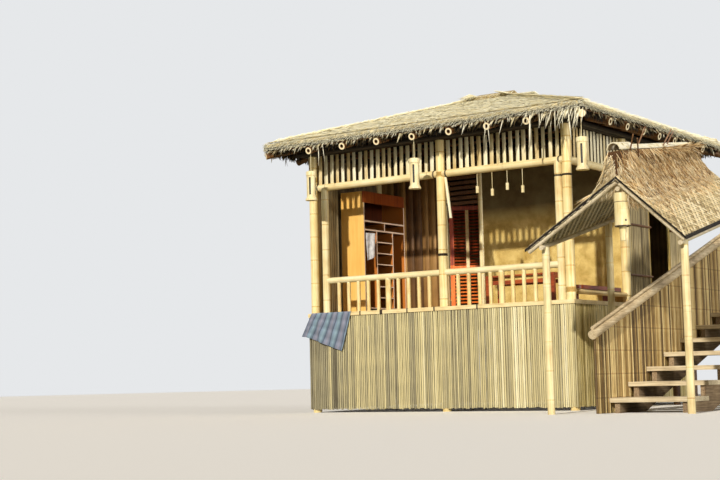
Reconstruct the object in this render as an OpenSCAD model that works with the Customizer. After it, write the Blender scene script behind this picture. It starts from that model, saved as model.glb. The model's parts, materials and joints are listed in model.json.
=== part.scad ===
// Bamboo stilt house: a veranda and a room under one low hipped thatch roof,
// with a stepped path up to a landing at the right side, under a woven canopy.
// X runs along the front to the right, Y into the house, Z up. The ground is Z = 0
// and the origin is the middle of the whole outline on the ground.

/* [Plan] */
// Left corner post to middle post
left_bay = 2470; // [1900:10:3200]
// Middle post to right corner post
right_bay = 2170; // [1700:10:2900]
// Depth of the open veranda
veranda_d = 1900; // [1600:10:2400]
// Depth of the room behind the veranda
room_d = 2300; // [2100:10:2800]

/* [Heights] */
// Ground to the top of the floor
floor_h = 1600; // [1300:10:2000]
// Floor to the underside of the valance beam
opening_h = 2000; // [1850:10:2300]
// Valance beam to the top of the posts
valance_h = 470; // [350:10:600]

/* [Culms] */
// Main posts
post_d = 140; // [110:1:170]
// Short posts under the ends of the valance beams
jack_d = 120; // [90:1:140]
// Left corner post to the short post beside it
jack_left = 230; // [180:5:400]
// Right corner post to the short post beside it
jack_right = 140; // [140:5:400]
// Valance beams
beam_d = 115; // [90:1:130]
// Wall plates on top of the posts
plate_d = 120; // [100:1:150]
// Pitch of the growth rings along a culm
ring_pitch = 380; // [250:10:600]
// Depth of the groove at a growth ring
ring_groove = 2.5; // [1:0.5:4]

/* [Floor] */
// Bearers along the front, one behind each row of posts
bearer_d = 120; // [90:1:150]
// Joists across the bearers
joist_d = 80; // [60:1:110]
// Joists in each bay
joists_per_bay = 4; // [3:1:6]
// Split bamboo deck
deck_t = 25; // [15:1:40]
// Height of the pale strip along the floor's edge
edge_h = 60; // [40:1:90]
// Thickness of that strip
edge_t = 22; // [12:1:30]

/* [Skirt] */
// Thickness of the slatted skirt
skirt_t = 16; // [10:1:22]
// Gap between the skirt and the ground
skirt_gap = 40; // [20:5:150]

/* [Railing] */
// Floor to the top of the rail
rail_h = 575; // [450:5:900]
// Top rail
rail_d = 100; // [70:1:120]
// Balusters
baluster_d = 62; // [40:1:80]
// Thick baluster in the middle of each bay
newel_d = 92; // [60:1:110]
// Balusters in the left bay
left_balusters = 10; // [7:1:12]
// Balusters in the right bay
right_balusters = 9; // [6:1:11]
// Low rail along the open right side, floor to its axis
side_rail_z = 130; // [90:5:260]
// Low side rail
side_rail_d = 80; // [50:1:90]
// Width of the seat board over the side rail
seat_board_w = 240; // [200:5:280]
// Thickness of the seat board
seat_board_t = 55; // [35:1:60]
// Posts to the round ends of the seat board
seat_board_in = 320; // [250:10:400]
// Blocks under the seat board
seat_block = 90; // [60:5:110]

/* [Valance] */
// Width of a valance strip
strip_w = 66; // [40:1:75]
// Thickness of a valance strip
strip_t = 9; // [5:1:14]
// Strips over the left bay
left_strips = 20; // [14:1:22]
// Strips over the right bay
right_strips = 18; // [12:1:20]
// Strips over the open right side
side_strips = 15; // [10:1:17]

/* [Walls] */
// Thickness of the wall panels
wall_t = 30; // [20:1:60]
// Middle of the inner doorway, from the middle of the front
door_x = -615; // [-900:5:600]
// Width of the inner doorway
door_w = 620; // [560:5:900]
// Height of the inner doorway
door_h = 1810; // [1700:5:1950]
// Posts beside the inner doorway
jamb_d = 90; // [60:1:110]
// Slats over the inner doorway
transom_slats = 9; // [5:1:12]
// Middle of the side doorway, from the front posts
side_door_y = 3200; // [2900:10:3400]
// Width of the side doorway
side_door_w = 760; // [650:10:850]

/* [Door leaf] */
// Thickness of the louvred leaf
leaf_t = 32; // [25:1:40]
// Running gap between the leaf and what it passes
leaf_gap = 8; // [6:1:15]
// How far the leaf stands open
leaf_open = 25; // [0:1:85]
// Stiles and rails of the leaf
stile_w = 70; // [50:1:90]
// Middle rail, floor to its lower edge
middle_rail_z = 720; // [600:10:900]
// Slope of the louvres
louvre_tilt = 35; // [20:1:50]
// Pitch of the louvres
louvre_pitch = 55; // [45:1:80]
// Hinge pins
hinge_pin_d = 12; // [8:1:16]
// Height of a hinge knuckle
knuckle_h = 60; // [40:1:90]
// Play of the knuckles round their pins
hinge_play = 0.05; // [0.02:0.01:0.09]

/* [Roof] */
// Eaves past the posts
overhang = 620; // [450:10:800]
// Pitch of all four slopes
pitch = 17; // [14:0.5:26]
// Rafters
rafter_d = 110; // [80:1:120]
// Rafters along the front
rafter_count = 7; // [5:1:9]
// Rafters along each side
side_rafter_count = 7; // [5:1:9]
// Outermost rafters from the lines of the corner posts
rafter_in = 340; // [200:10:500]
// Rafter ends from the edge of the thatch
rafter_back = 50; // [20:5:120]
// Hollow in the end of a rafter
rafter_bore = 60; // [30:1:75]
// Battens under the thatch
batten_t = 18; // [12:1:25]
// Width of a batten
batten_w = 45; // [30:1:70]
// Battens up each slope
batten_count = 7; // [5:1:10]
// Thickness of the thatch
thatch_t = 120; // [80:5:180]
// Poles under the rafters along the eaves
eave_pole_d = 80; // [60:1:100]
// Eave pole from the edge of the thatch
eave_pole_back = 480; // [300:5:500]
// Rounding of the thatch's lower edge
eave_round = 70; // [40:5:90]
// Thickness of the ridge capping
cap_t = 60; // [40:5:90]
// Half width of the ridge capping
cap_half = 280; // [200:5:400]

/* [Shelf unit] */
// Width along the left wall
shelf_w = 1220; // [900:10:1230]
// Depth from the wall
shelf_d = 460; // [300:10:600]
// Height
shelf_h = 2040; // [1500:10:2200]
// Board thickness
board_t = 25; // [18:1:35]
// Height of the wide upper shelf
upper_shelf_z = 1530; // [1300:10:1650]
// Height of the narrow slot under it
slot_h = 120; // [80:5:200]
// Width of the middle column
middle_w = 500; // [300:10:600]
// Small shelves in the middle column
small_shelves = 6; // [3:1:8]
// Height of the board across the top of the front
fascia_h = 190; // [100:5:250]

/* [Bench] */
// Middle post to the bench
bench_x = 300; // [250:10:450]
// Front posts to the bench
bench_y = 760; // [450:10:850]
// Length along the front
bench_w = 1200; // [1000:10:1450]
// Depth
bench_d = 420; // [300:10:500]
// Seat height
bench_h = 480; // [350:10:520]
// Board thickness
bench_t = 24; // [18:1:35]
// Legs
bench_leg = 55; // [40:1:70]
// Slats of the seat
bench_slats = 5; // [3:1:5]
// Width of a slat of the seat
bench_slat_w = 66; // [50:1:75]
// Width of the rails, and their drop from the seat
apron_w = 60; // [40:1:80]

/* [Hanging pieces] */
// Lantern diameter
lantern_d = 145; // [90:1:170]
// Lantern length
lantern_l = 470; // [300:10:600]
// Collar round a lantern's top
lantern_collar = 10; // [4:1:20]
// Height of that collar
collar_h = 70; // [40:5:100]
// Flare of a lantern's foot
lantern_flare = 22; // [8:1:35]
// Width of a lantern's windows
window_w = 30; // [20:1:40]
// String above a lantern
lantern_drop = 290; // [150:10:400]
// String thickness
string_d = 8; // [5:1:12]
// Wind chime diameter
chime_d = 50; // [30:1:80]
// Wind chime length
chime_l = 105; // [80:5:200]
// String above the longest wind chime
chime_drop = 260; // [150:10:350]
// Width of the blanket over the floor's edge
blanket_w = 920; // [600:10:1200]
// Drop of the blanket
blanket_h = 580; // [400:10:700]
// Thickness of the folded blanket
blanket_t = 18; // [10:1:25]

/* [Path and landing] */
// Left side of the steps, from the middle of the front
path_x = 3570; // [3300:10:3900]
// Width of the steps
path_w = 1130; // [900:10:1200]
// Front of the lowest step, from the front posts
path_y = -1500; // [-1900:10:-1400]
// Risers from the ground to the landing
risers = 8; // [7:1:10]
// Thickness of a tread
tread_t = 60; // [40:1:80]
// Thickness of the timber strings under the treads
string_t = 70; // [50:1:100]
// Depth of the timber strings under the steps
string_depth = 200; // [150:10:260]
// Steps to the middle of the handrail
handrail_h = 950; // [850:10:1050]
// Handrail's lower end in front of the lowest step
handrail_out = 400; // [300:10:450]
// Handrail culm
handrail_d = 120; // [80:1:130]
// Thin culm over the handrail
top_culm_d = 45; // [30:1:60]
// Posts under the landing
landing_post_d = 110; // [80:1:130]
// Beams under the landing
landing_beam_d = 90; // [70:1:110]

/* [Canopy] */
// Ridge of the canopy, from the middle of the front
canopy_x = 4110; // [3900:10:4300]
// Front of the canopy, from the front posts
canopy_y = -2000; // [-2400:10:-1900]
// Ridge to the left eave
canopy_left = 1440; // [1200:10:1500]
// Ridge to the right eave
canopy_right = 830; // [740:10:1000]
// Eaves to ridge
canopy_rise = 840; // [600:10:1000]
// Length along the steps
canopy_l = 2500; // [2000:10:2800]
// Ground to the front of the eaves
canopy_eave = 2150; // [2000:10:2400]
// Slope of the eaves towards the back
canopy_tilt = 13.5; // [8:0.5:15]
// Thickness of the woven panels
canopy_t = 25; // [15:1:40]
// Canopy posts
canopy_post_d = 100; // [80:1:120]
// Canopy poles
canopy_pole_d = 60; // [40:1:70]
// Height of the thatch over the canopy's ridge, at the front
mound_h = 330; // [200:10:400]
// Height of that thatch at the back
mound_back = 90; // [60:10:180]
// Half width of that thatch
mound_half = 360; // [300:10:500]
// Half width of that thatch under the cap
mound_neck = 80; // [70:5:110]
// Culm halves over the canopy's ridge
canopy_cap_d = 130; // [100:5:150]
// Wide culm half at the front of the cap
front_cap_d = 190; // [150:5:210]
// Length of that wide half
front_cap_l = 430; // [300:10:500]
// Hole through its side
cap_hole_d = 62; // [40:1:80]
// Bamboo bell under the canopy's front
bell_d = 200; // [140:5:220]
// Length of the bell
bell_l = 430; // [300:10:500]
// Wall of the bell
bell_wall = 15; // [10:1:20]
// How far the clapper hangs below the bell
clapper_out = 180; // [120:5:220]

/* [Hidden] */
$fn = 24;

// Seat clearance between pieces that touch, and an overlap used only when cutting
seat = 0.3;
cut = 20;

// Post lines: left, middle and right in X, front, inner wall and rear in Y
xl = -(left_bay + right_bay) / 2;
xm = xl + left_bay;
xr = -xl;
yb = veranda_d;
yr = veranda_d + room_d;
post_r = post_d / 2;

// Levels
beam_z = floor_h + opening_h + beam_d / 2;
post_top = floor_h + opening_h + beam_d + valance_h;
plate_z = post_top + plate_d / 2;
joist_z = floor_h - deck_t - joist_d / 2 - seat;
bearer_z = joist_z - joist_d / 2 - bearer_d / 2 - seat;
rail_z = floor_h + rail_h - rail_d / 2;

// Outer face of the posts, where the deck ends and the skirt hangs
face = post_r + 0.5;
skirt_top = floor_h - edge_h - seat;

// Roof: s is the level distance inwards from the plates
roof_w = xr - xl + 2 * overhang;
roof_d = yr + 2 * overhang;
run = min(roof_w, roof_d) / 2;
ridge_l = max(roof_w, roof_d) - 2 * run;
axis_up = (plate_d / 2 + rafter_d / 2 + seat) / cos(pitch);
under_up = (rafter_d / 2 + batten_t + 2 * seat) / cos(pitch);
thatch_up = thatch_t / cos(pitch);
function axis_z(s) = plate_z + axis_up + s * tan(pitch);
jack_clear = (rafter_d / 2) * (1 + sqrt(2)) + 22;
ridge_r = rafter_d / 2 + batten_t - seat;
ridge_clear = ridge_r + rafter_d / 2 * sin(pitch) + 8;
hip_clear = rafter_d / 2 + 40;
// The ends of the plates stop short of the eave poles
plate_out = min(200, overhang - eave_pole_back - eave_pole_d / 2 - 10);

// Inner doorway, and the hinge line of its leaf at the inner face
door_l = door_x - door_w / 2;
door_r = door_x + door_w / 2;
leaf_w = door_w - 2 * leaf_gap;
hinge = [door_l + leaf_gap, yb + wall_t / 2 + leaf_gap + leaf_t, floor_h];
pintle_d = hinge_pin_d + 12;

// Steps and landing
rise = floor_h / risers;
landing_y = side_door_y - side_door_w / 2 - 80;
tread_d = (landing_y - path_y) / (risers - 1);
landing_d = side_door_w + 160;
landing_x = xr + face + edge_t + seat;
path_slope = atan(rise / tread_d);

// Canopy slopes and posts
left_slope = atan(canopy_rise / canopy_left);
right_slope = atan(canopy_rise / canopy_right);
post_left = canopy_left - 240;
post_right = canopy_right - 50 - (canopy_pole_d + seat) * sin(right_slope);
canopy_in = 60;
panel_up = canopy_t / cos(max(left_slope, right_slope)) + seat;
cap_z = canopy_rise + panel_up + mound_h + seat;
mound_l = canopy_l - 2 * canopy_in;
mound_fall = atan((mound_h - mound_back) / mound_l);

// Outline on the ground, whose middle is the origin
x_min = xl - overhang;
x_max = canopy_x + canopy_right;
y_min = canopy_y + canopy_in * cos(canopy_tilt) - cap_z * sin(canopy_tilt)
    - front_cap_d / 2 * sin(max(0, canopy_tilt - mound_fall));
y_max = yr + overhang;
origin = [(x_min + x_max) / 2, (y_min + y_max) / 2, 0];

// A culm standing on the origin, with a groove at each growth ring
module culm(d, l) {
    r = d / 2;
    n = max(1, round(l / ring_pitch));
    rings = [for (i = [0 : n - 1]) (i + 0.5) * l / n];
    rotate_extrude()
        polygon(concat([[0, 0], [r, 0]],
            [for (z = rings, p = [[r, z - 7], [r - ring_groove, z], [r, z + 7]]) p],
            [[r, l], [0, l]]));
}

// A culm from point a to point b
module pole(a, b, d) {
    v = b - a;
    translate(a) rotate([0, acos(v[2] / norm(v)), atan2(v[1], v[0])]) culm(d, norm(v));
}

// A round cutter from point a to point b, a seat clearance wider than the culm it clears
module bore(a, b, d) {
    v = b - a;
    translate(a) rotate([0, acos(v[2] / norm(v)), atan2(v[1], v[0])])
        cylinder(d = d + 2 * seat, h = norm(v));
}

// A culm along X at height z between two upright posts, its ends cut to sit round them
module rail_x(xa, xb, y, z, d, da, db) {
    difference() {
        pole([xa, y, z], [xb, y, z], d);
        for (p = [[xa, da], [xb, db]])
            bore([p[0], y, z - d], [p[0], y, z + d], p[1]);
    }
}

module rail_y(x, ya, yc, z, d, dp) {
    difference() {
        pole([x, ya, z], [x, yc, z], d);
        for (y = [ya, yc])
            bore([x, y, z - d], [x, y, z + d], dp);
    }
}

// A flat board given by two opposite corners
module board(a, b) {
    translate(a) cube(b - a);
}

module at_origin() {
    translate(-origin) children();
}

// Posts and floor

module front_posts() {
    color("goldenrod") for (x = [xl, xm, xr]) translate([x, 0, 0]) culm(post_d, post_top);
}

// Short posts that carry the beam ends, their tops cut to the beam's curve
module jack_posts() {
    color("goldenrod") for (x = [xl + jack_left, xr - jack_right])
        difference() {
            translate([x, 0, floor_h + seat]) culm(jack_d, opening_h + beam_d / 2);
            bore([x - jack_d, 0, beam_z], [x + jack_d, 0, beam_z], beam_d);
        }
}

module middle_posts() {
    color("goldenrod") {
        for (x = [xl, xr]) translate([x, yb, 0]) culm(post_d, post_top);
        translate([xm, yb, 0]) culm(post_d, floor_h - deck_t - seat);
    }
}

module rear_posts() {
    color("goldenrod") for (x = [xl, xm, xr]) translate([x, yr, 0]) culm(post_d, post_top);
}

module floor_bearers() {
    off = post_r + bearer_d / 2 + seat;
    color("tan") for (y = [off, yb - off, yr - off])
        pole([xl - 60, y, bearer_z], [xr + 60, y, bearer_z], bearer_d);
}

function joist_xs() = concat(
    [for (i = [0 : joists_per_bay - 1]) xl + left_bay * (i + 0.5) / joists_per_bay],
    [for (i = [0 : joists_per_bay - 1]) xm + right_bay * (i + 0.5) / joists_per_bay]);

module floor_joists() {
    color("tan") for (x = joist_xs())
        pole([x, -face + 10, joist_z], [x, yr + face - 10, joist_z], joist_d);
}

module floor_deck() {
    color("burlywood") difference() {
        board([xl - face, -face, floor_h - deck_t], [xr + face, yr + face, floor_h]);
        for (x = [xl, xm, xr], y = [0, yr])
            bore([x, y, floor_h - deck_t - cut], [x, y, floor_h + cut], post_d);
        for (x = [xl, xr])
            bore([x, yb, floor_h - deck_t - cut], [x, yb, floor_h + cut], post_d);
    }
}

// Pale strips round the floor's edge, open at the landing's doorway side too
module floor_edges() {
    z = [floor_h - edge_h, floor_h];
    color("khaki") {
        for (y = [-face - edge_t, yr + face])
            board([xl - face - edge_t, y, z[0]], [xr + face + edge_t, y + edge_t, z[1]]);
        for (x = [xl - face - edge_t, xr + face])
            board([x, -face + seat, z[0]], [x + edge_t, yr + face - seat, z[1]]);
    }
}

// Slatted skirts from the floor's edge to just over the ground
module front_skirt() {
    color("darkkhaki")
        board([xl - face - skirt_t, -face - skirt_t, skirt_gap],
            [xr + face + skirt_t, -face, skirt_top]);
}

module rear_skirt() {
    color("darkkhaki")
        board([xl - face - skirt_t, yr + face, skirt_gap],
            [xr + face + skirt_t, yr + face + skirt_t, skirt_top]);
}

module side_skirt(x) {
    board([x, -face + seat, skirt_gap], [x + skirt_t, yr + face - seat, skirt_top]);
}

module left_skirt() {
    color("darkkhaki") side_skirt(xl - face - skirt_t);
}

module right_skirt() {
    color("darkkhaki") side_skirt(xr + face);
}

// Railings: upright culms whose tops are cut to the rail's curve

module balusters(xa, xb, n) {
    for (i = [0 : n - 1]) {
        x = xa + (xb - xa) * (i + 1) / (n + 1);
        d = i == floor(n / 2) ? newel_d : baluster_d;
        difference() {
            translate([x, 0, floor_h + seat]) culm(d, rail_h - rail_d / 2);
            bore([x - d, 0, rail_z], [x + d, 0, rail_z], rail_d - 2 * seat);
        }
    }
}

// The rail and its balusters are one panel: the balusters are pegged into the rail
module left_railing() {
    color("gold") {
        rail_x(xl + jack_left, xm, 0, rail_z, rail_d, jack_d, post_d);
        balusters(xl + jack_left + jack_d / 2, xm - post_r, left_balusters);
    }
}

module right_railing() {
    color("gold") {
        rail_x(xm, xr - jack_right, 0, rail_z, rail_d, post_d, jack_d);
        balusters(xm + post_r, xr - jack_right - jack_d / 2, right_balusters);
    }
}

module side_rail() {
    color("tan") rail_y(xr, 0, yb, floor_h + side_rail_z, side_rail_d, post_d);
}

// Low seat board with round ends over the side rail, on two blocks inside
module side_seat() {
    z = floor_h + side_rail_z + side_rail_d / 2 + seat;
    w = seat_board_w;
    x = xr - w / 2 + side_rail_d / 2;
    color("sienna") {
        translate([x, 0, z]) linear_extrude(seat_board_t) {
            translate([-w / 2, seat_board_in]) square([w, yb - 2 * seat_board_in]);
            for (y = [seat_board_in, yb - seat_board_in]) translate([0, y]) circle(d = w);
        }
        for (y = [seat_board_in + seat_block, yb - seat_board_in - seat_block])
            board([x - w / 2, y - seat_block / 2, floor_h + seat],
                [x - w / 2 + seat_block, y + seat_block / 2, z]);
    }
}

// Valance over the openings

module valance_beams() {
    color("khaki") {
        rail_x(xl, xm, 0, beam_z, beam_d, post_d, post_d);
        rail_x(xm, xr, 0, beam_z, beam_d, post_d, post_d);
        rail_y(xr, 0, yb, beam_z, beam_d, post_d);
    }
}

// Split strips standing on a beam, up to the plate
module strips(from, to, n) {
    gap = (to - from - n * strip_w) / (n + 1);
    for (i = [0 : n - 1])
        translate([from + gap + i * (strip_w + gap), -strip_t / 2, beam_z + beam_d / 2])
            cube([strip_w, strip_t, valance_h]);
}

module left_valance() {
    color("khaki") strips(xl + post_r, xm - post_r, left_strips);
}

module right_valance() {
    color("khaki") strips(xm + post_r, xr - post_r, right_strips);
}

module side_valance() {
    color("khaki") translate([xr, 0, 0]) rotate([0, 0, 90])
        strips(post_r, yb - post_r, side_strips);
}

// Roof frame

module wall_plates() {
    color("tan") {
        for (y = [0, yr])
            pole([xl - plate_out, y, plate_z], [xr + plate_out, y, plate_z], plate_d);
        for (x = [xl, xr]) difference() {
            pole([x, 0, plate_z], [x, yr, plate_z], plate_d);
            for (y = [0, yr])
                bore([x - plate_d, y, plate_z], [x + plate_d, y, plate_z], plate_d);
        }
        difference() {
            pole([xl, yb, plate_z], [xr, yb, plate_z], plate_d);
            for (x = [xl, xr])
                bore([x, yb - plate_d, plate_z], [x, yb + plate_d, plate_z], plate_d);
        }
    }
}

// Puts a slope, drawn with its eave on the X axis and rising along Y, on each side
module front_side() { translate([0, -overhang, 0]) children(); }
module rear_side() { translate([0, yr + overhang, 0]) rotate([0, 0, 180]) children(); }
module left_side() { translate([xl - overhang, yr / 2, 0]) rotate([0, 0, -90]) children(); }
module right_side() { translate([xr + overhang, yr / 2, 0]) rotate([0, 0, 90]) children(); }

// Rafters of one slope with an eave of length e, their lower ends hollow
module slope_rafters(e, n) {
    first = e / 2 - overhang - rafter_in;
    for (i = [0 : n - 1]) {
        x = -first + 2 * first * i / (n - 1);
        far = min(run - ridge_clear, e / 2 - abs(x) - jack_clear);
        a = [x, rafter_back, axis_z(rafter_back - overhang)];
        b = [x, far, axis_z(far - overhang)];
        difference() {
            pole(a, b, rafter_d);
            bore(a - (b - a) / norm(b - a), a + 70 * (b - a) / norm(b - a), rafter_bore);
        }
    }
}

module front_rafters() {
    color("wheat") front_side() slope_rafters(roof_w, rafter_count);
}

module rear_rafters() {
    color("wheat") rear_side() slope_rafters(roof_w, rafter_count);
}

module left_rafters() {
    color("wheat") left_side() slope_rafters(roof_d, side_rafter_count);
}

module right_rafters() {
    color("wheat") right_side() slope_rafters(roof_d, side_rafter_count);
}

// A point on a hip, q inwards from the edge of the thatch
function hip(sx, sy, q) = [sx * (roof_w / 2 - q), yr / 2 + sy * (roof_d / 2 - q),
    axis_z(q - overhang)];

// Hips from the corners of the eaves to the ridge pole
module hip_rafters() {
    near = rafter_back + 20;
    far = run - hip_clear;
    color("wheat") {
        for (sx = [-1, 1], sy = [-1, 1])
            pole(hip(sx, sy, near), hip(sx, sy, far), rafter_d);
        z = axis_z(run - overhang);
        along = roof_w > roof_d ? [ridge_l / 2, 0, 0] : [0, ridge_l / 2, 0];
        pole([0, yr / 2, z] - along, [0, yr / 2, z] + along, 2 * ridge_r);
    }
}

module eave_poles() {
    z = axis_z(eave_pole_back - overhang)
        - (rafter_d / 2 + eave_pole_d / 2 + seat) / cos(pitch);
    xa = roof_w / 2 - eave_pole_back;
    ya = roof_d / 2 - eave_pole_back;
    color("tan") {
        for (s = [-1, 1]) {
            pole([-xa - 110, yr / 2 + s * ya, z], [xa + 110, yr / 2 + s * ya, z], eave_pole_d);
            difference() {
                pole([s * xa, yr / 2 - ya, z], [s * xa, yr / 2 + ya, z], eave_pole_d);
                for (y = [yr / 2 - ya, yr / 2 + ya])
                    bore([s * xa - 100, y, z], [s * xa + 100, y, z], eave_pole_d);
            }
        }
    }
}

// Battens of one slope, lying on its rafters
module slope_battens(e) {
    for (i = [0 : batten_count - 1]) {
        y = 90 + (run - 330) * i / (batten_count - 1);
        l = e - 2 * y - 150;
        translate([0, y, axis_z(y - overhang)]) rotate([pitch, 0, 0])
            translate([-l / 2, 0, rafter_d / 2 + seat]) cube([l, batten_w, batten_t]);
    }
}

module roof_battens() {
    color("peru") {
        front_side() slope_battens(roof_w);
        rear_side() slope_battens(roof_w);
        left_side() slope_battens(roof_d);
        right_side() slope_battens(roof_d);
    }
}

// Plan of one slope, cut back a little at the hips
module slope_plan(e) {
    g = 0.4;
    top = e / 2 - run;
    polygon(top > 1
        ? [[-e / 2 + g, 0], [e / 2 - g, 0], [top - g, run - g / 2], [-top + g, run - g / 2]]
        : [[-e / 2 + g, 0], [e / 2 - g, 0], [0, run - g]]);
}

// Thatch of one slope
module slope_thatch(e) {
    z = axis_z(-overhang) + under_up;
    up = run * tan(pitch);
    r = eave_round;
    // The nose turns from level at the edge to the pitch of the top
    nose = [for (a = [0 : 15 : 90])
        [r * (1 - cos(a)), z + thatch_up - r * (1 - sin(a)) + r * (1 - cos(a)) * tan(pitch)]];
    intersection() {
        translate([0, 0, z - 100]) linear_extrude(up + thatch_up + 300) slope_plan(e);
        translate([-e / 2, 0, 0]) rotate([90, 0, 90]) linear_extrude(e)
            polygon(concat([[0, z]], nose, [[run, z + up + thatch_up], [run, z + up]]));
    }
}

module front_thatch() { color("palegoldenrod") front_side() slope_thatch(roof_w); }
module rear_thatch() { color("palegoldenrod") rear_side() slope_thatch(roof_w); }
module left_thatch() { color("palegoldenrod") left_side() slope_thatch(roof_d); }
module right_thatch() { color("palegoldenrod") right_side() slope_thatch(roof_d); }

// Capping bent over the ridge
module ridge_cap() {
    z = axis_z(run - overhang) + under_up + thatch_up + seat;
    l = ridge_l + 240;
    dz = cap_half * tan(pitch);
    color("peru") translate([0, yr / 2, z]) rotate([0, 0, roof_w > roof_d ? 0 : 90])
        rotate([90, 0, 90]) translate([0, 0, -l / 2]) linear_extrude(l)
            polygon([[-cap_half, -dz], [0, 0], [cap_half, -dz], [cap_half, cap_t - dz],
                [0, cap_t], [-cap_half, cap_t - dz]]);
}

// Walls

module board_wall() {
    color("saddlebrown")
        board([xl + post_r + seat, yb - wall_t / 2, floor_h + seat],
            [door_l - jamb_d - seat, yb + wall_t / 2, post_top - seat]);
}

module mat_wall() {
    color("darkkhaki")
        board([door_r + jamb_d + seat, yb - wall_t / 2, floor_h + seat],
            [xr - post_r - seat, yb + wall_t / 2, post_top - seat]);
}

// Heights over the floor at which the leaf's knuckles start
function knuckle_zs() = [220, door_h - 220 - knuckle_h];

// Posts beside the doorway, the left one with the pintles that carry the leaf
module door_posts() {
    color("goldenrod") {
        for (x = [door_l - jamb_d / 2, door_r + jamb_d / 2])
            translate([x, yb, floor_h + seat]) culm(jamb_d, post_top - floor_h - 2 * seat);
        for (z = knuckle_zs()) translate([hinge[0], hinge[1], floor_h + z]) {
            cylinder(d = hinge_pin_d, h = knuckle_h - 4);
            translate([0, 0, -16]) cylinder(d = pintle_d, h = 16 - seat);
            translate([0, 0, -16]) linear_extrude(16 - seat)
                polygon([[0, pintle_d / 2], [0, -pintle_d / 2],
                    [-jamb_d / 2 - leaf_gap, yb - hinge[1]],
                    [-jamb_d / 2 - leaf_gap, yb - hinge[1] + pintle_d]]);
        }
    }
}

// Louvres between two heights of the leaf, let into its stiles
module louvres(xa, xc, za, zc) {
    n = floor((zc - za) / louvre_pitch);
    step = (zc - za) / n;
    for (i = [0 : n - 1])
        translate([xa, -leaf_t / 2, za + (i + 0.5) * step]) rotate([louvre_tilt, 0, 0])
            translate([-5, -leaf_t * 0.55, -4]) cube([xc - xa + 10, leaf_t * 1.1, 8]);
}

// Louvred leaf hung on the left post, its hinge line on the Z axis
module leaf() {
    z0 = leaf_gap + 4;
    z1 = door_h - leaf_gap;
    middle = leaf_w / 2;
    difference() {
        union() {
            for (x = [0, middle - stile_w / 2, leaf_w - stile_w])
                board([x, -leaf_t, z0], [x + stile_w, 0, z1]);
            for (z = [z0, middle_rail_z, z1 - stile_w])
                board([0, -leaf_t, z], [leaf_w, 0, z + stile_w]);
            for (x = [[stile_w, middle - stile_w / 2], [middle + stile_w / 2, leaf_w - stile_w]]) {
                louvres(x[0], x[1], z0 + stile_w, middle_rail_z);
                louvres(x[0], x[1], middle_rail_z + stile_w, z1 - stile_w);
            }
            for (z = knuckle_zs()) translate([0, 0, z]) cylinder(d = pintle_d, h = knuckle_h);
        }
        for (z = knuckle_zs()) {
            translate([0, 0, z - 1])
                cylinder(d = hinge_pin_d + 2 * hinge_play, h = knuckle_h + 2);
            // Room for the pintle under each knuckle
            translate([0, 0, z - 16 - leaf_gap])
                cylinder(d = pintle_d + 2 * leaf_gap, h = 16 + leaf_gap);
        }
    }
}

module door_leaf() {
    color("orangered") translate(hinge) rotate([0, 0, leaf_open]) leaf();
}

// Level slats over the inner doorway
module door_transom() {
    top = post_top - seat;
    step = (top - floor_h - door_h) / transom_slats;
    color("peru") for (i = [0 : transom_slats - 1])
        board([door_l + seat, yb - 8, floor_h + door_h + i * step],
            [door_r - seat, yb + 8, floor_h + door_h + i * step + step * 0.62]);
}

module side_wall(x, ya, yc) {
    board([x - wall_t / 2, ya + post_r + seat, floor_h + seat],
        [x + wall_t / 2, yc - post_r - seat, post_top - seat]);
}

module left_wall() {
    color("darkkhaki") {
        side_wall(xl, 0, yb);
        side_wall(xl, yb, yr);
    }
}

// Room wall on the right, with the doorway to the landing
module right_wall() {
    color("darkkhaki") difference() {
        side_wall(xr, yb, yr);
        board([xr - wall_t, side_door_y - side_door_w / 2, floor_h - cut],
            [xr + wall_t, side_door_y + side_door_w / 2, floor_h + door_h]);
    }
}

module rear_wall() {
    color("darkkhaki") for (p = [[xl, xm], [xm, xr]])
        board([p[0] + post_r + seat, yr - wall_t / 2, floor_h + seat],
            [p[1] - post_r - seat, yr + wall_t / 2, post_top - seat]);
}

// Furniture on the veranda

// Open shelf unit against the left wall, facing right
module shelf_unit() {
    x0 = xl + post_r + 2 * seat;
    x1 = x0 + shelf_d;
    y1 = yb - wall_t / 2 - 2 * seat;
    y0 = y1 - shelf_w;
    z0 = floor_h + seat;
    zt = z0 + shelf_h;
    zu = z0 + upper_shelf_z;
    zl = zu - slot_h - board_t;
    m0 = (y0 + y1 - middle_w) / 2;
    m1 = (y0 + y1 + middle_w) / 2;
    foot = 80;
    color("chocolate") {
        for (y = [y0, y1 - board_t]) board([x0, y, z0], [x1, y + board_t, zt]);
        board([x0, y0, z0], [x0 + 12, y1, zt]);
        for (z = [z0 + foot, zl, zu, zt - board_t]) board([x0, y0, z], [x1, y1, z + board_t]);
        board([x1 - board_t, y0, zt - fascia_h], [x1, y1, zt]);
        board([x0, (y0 + y1 - board_t) / 2, zl], [x1, (y0 + y1 + board_t) / 2, zu]);
        for (y = [m0, m1 - board_t]) board([x0, y, z0 + foot], [x1, y + board_t, zl]);
        for (i = [1 : small_shelves]) {
            z = z0 + foot + (zl - z0 - foot) * i / (small_shelves + 1);
            board([x0, m0, z], [x1, m1, z + board_t * 0.7]);
        }
    }
}

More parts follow.
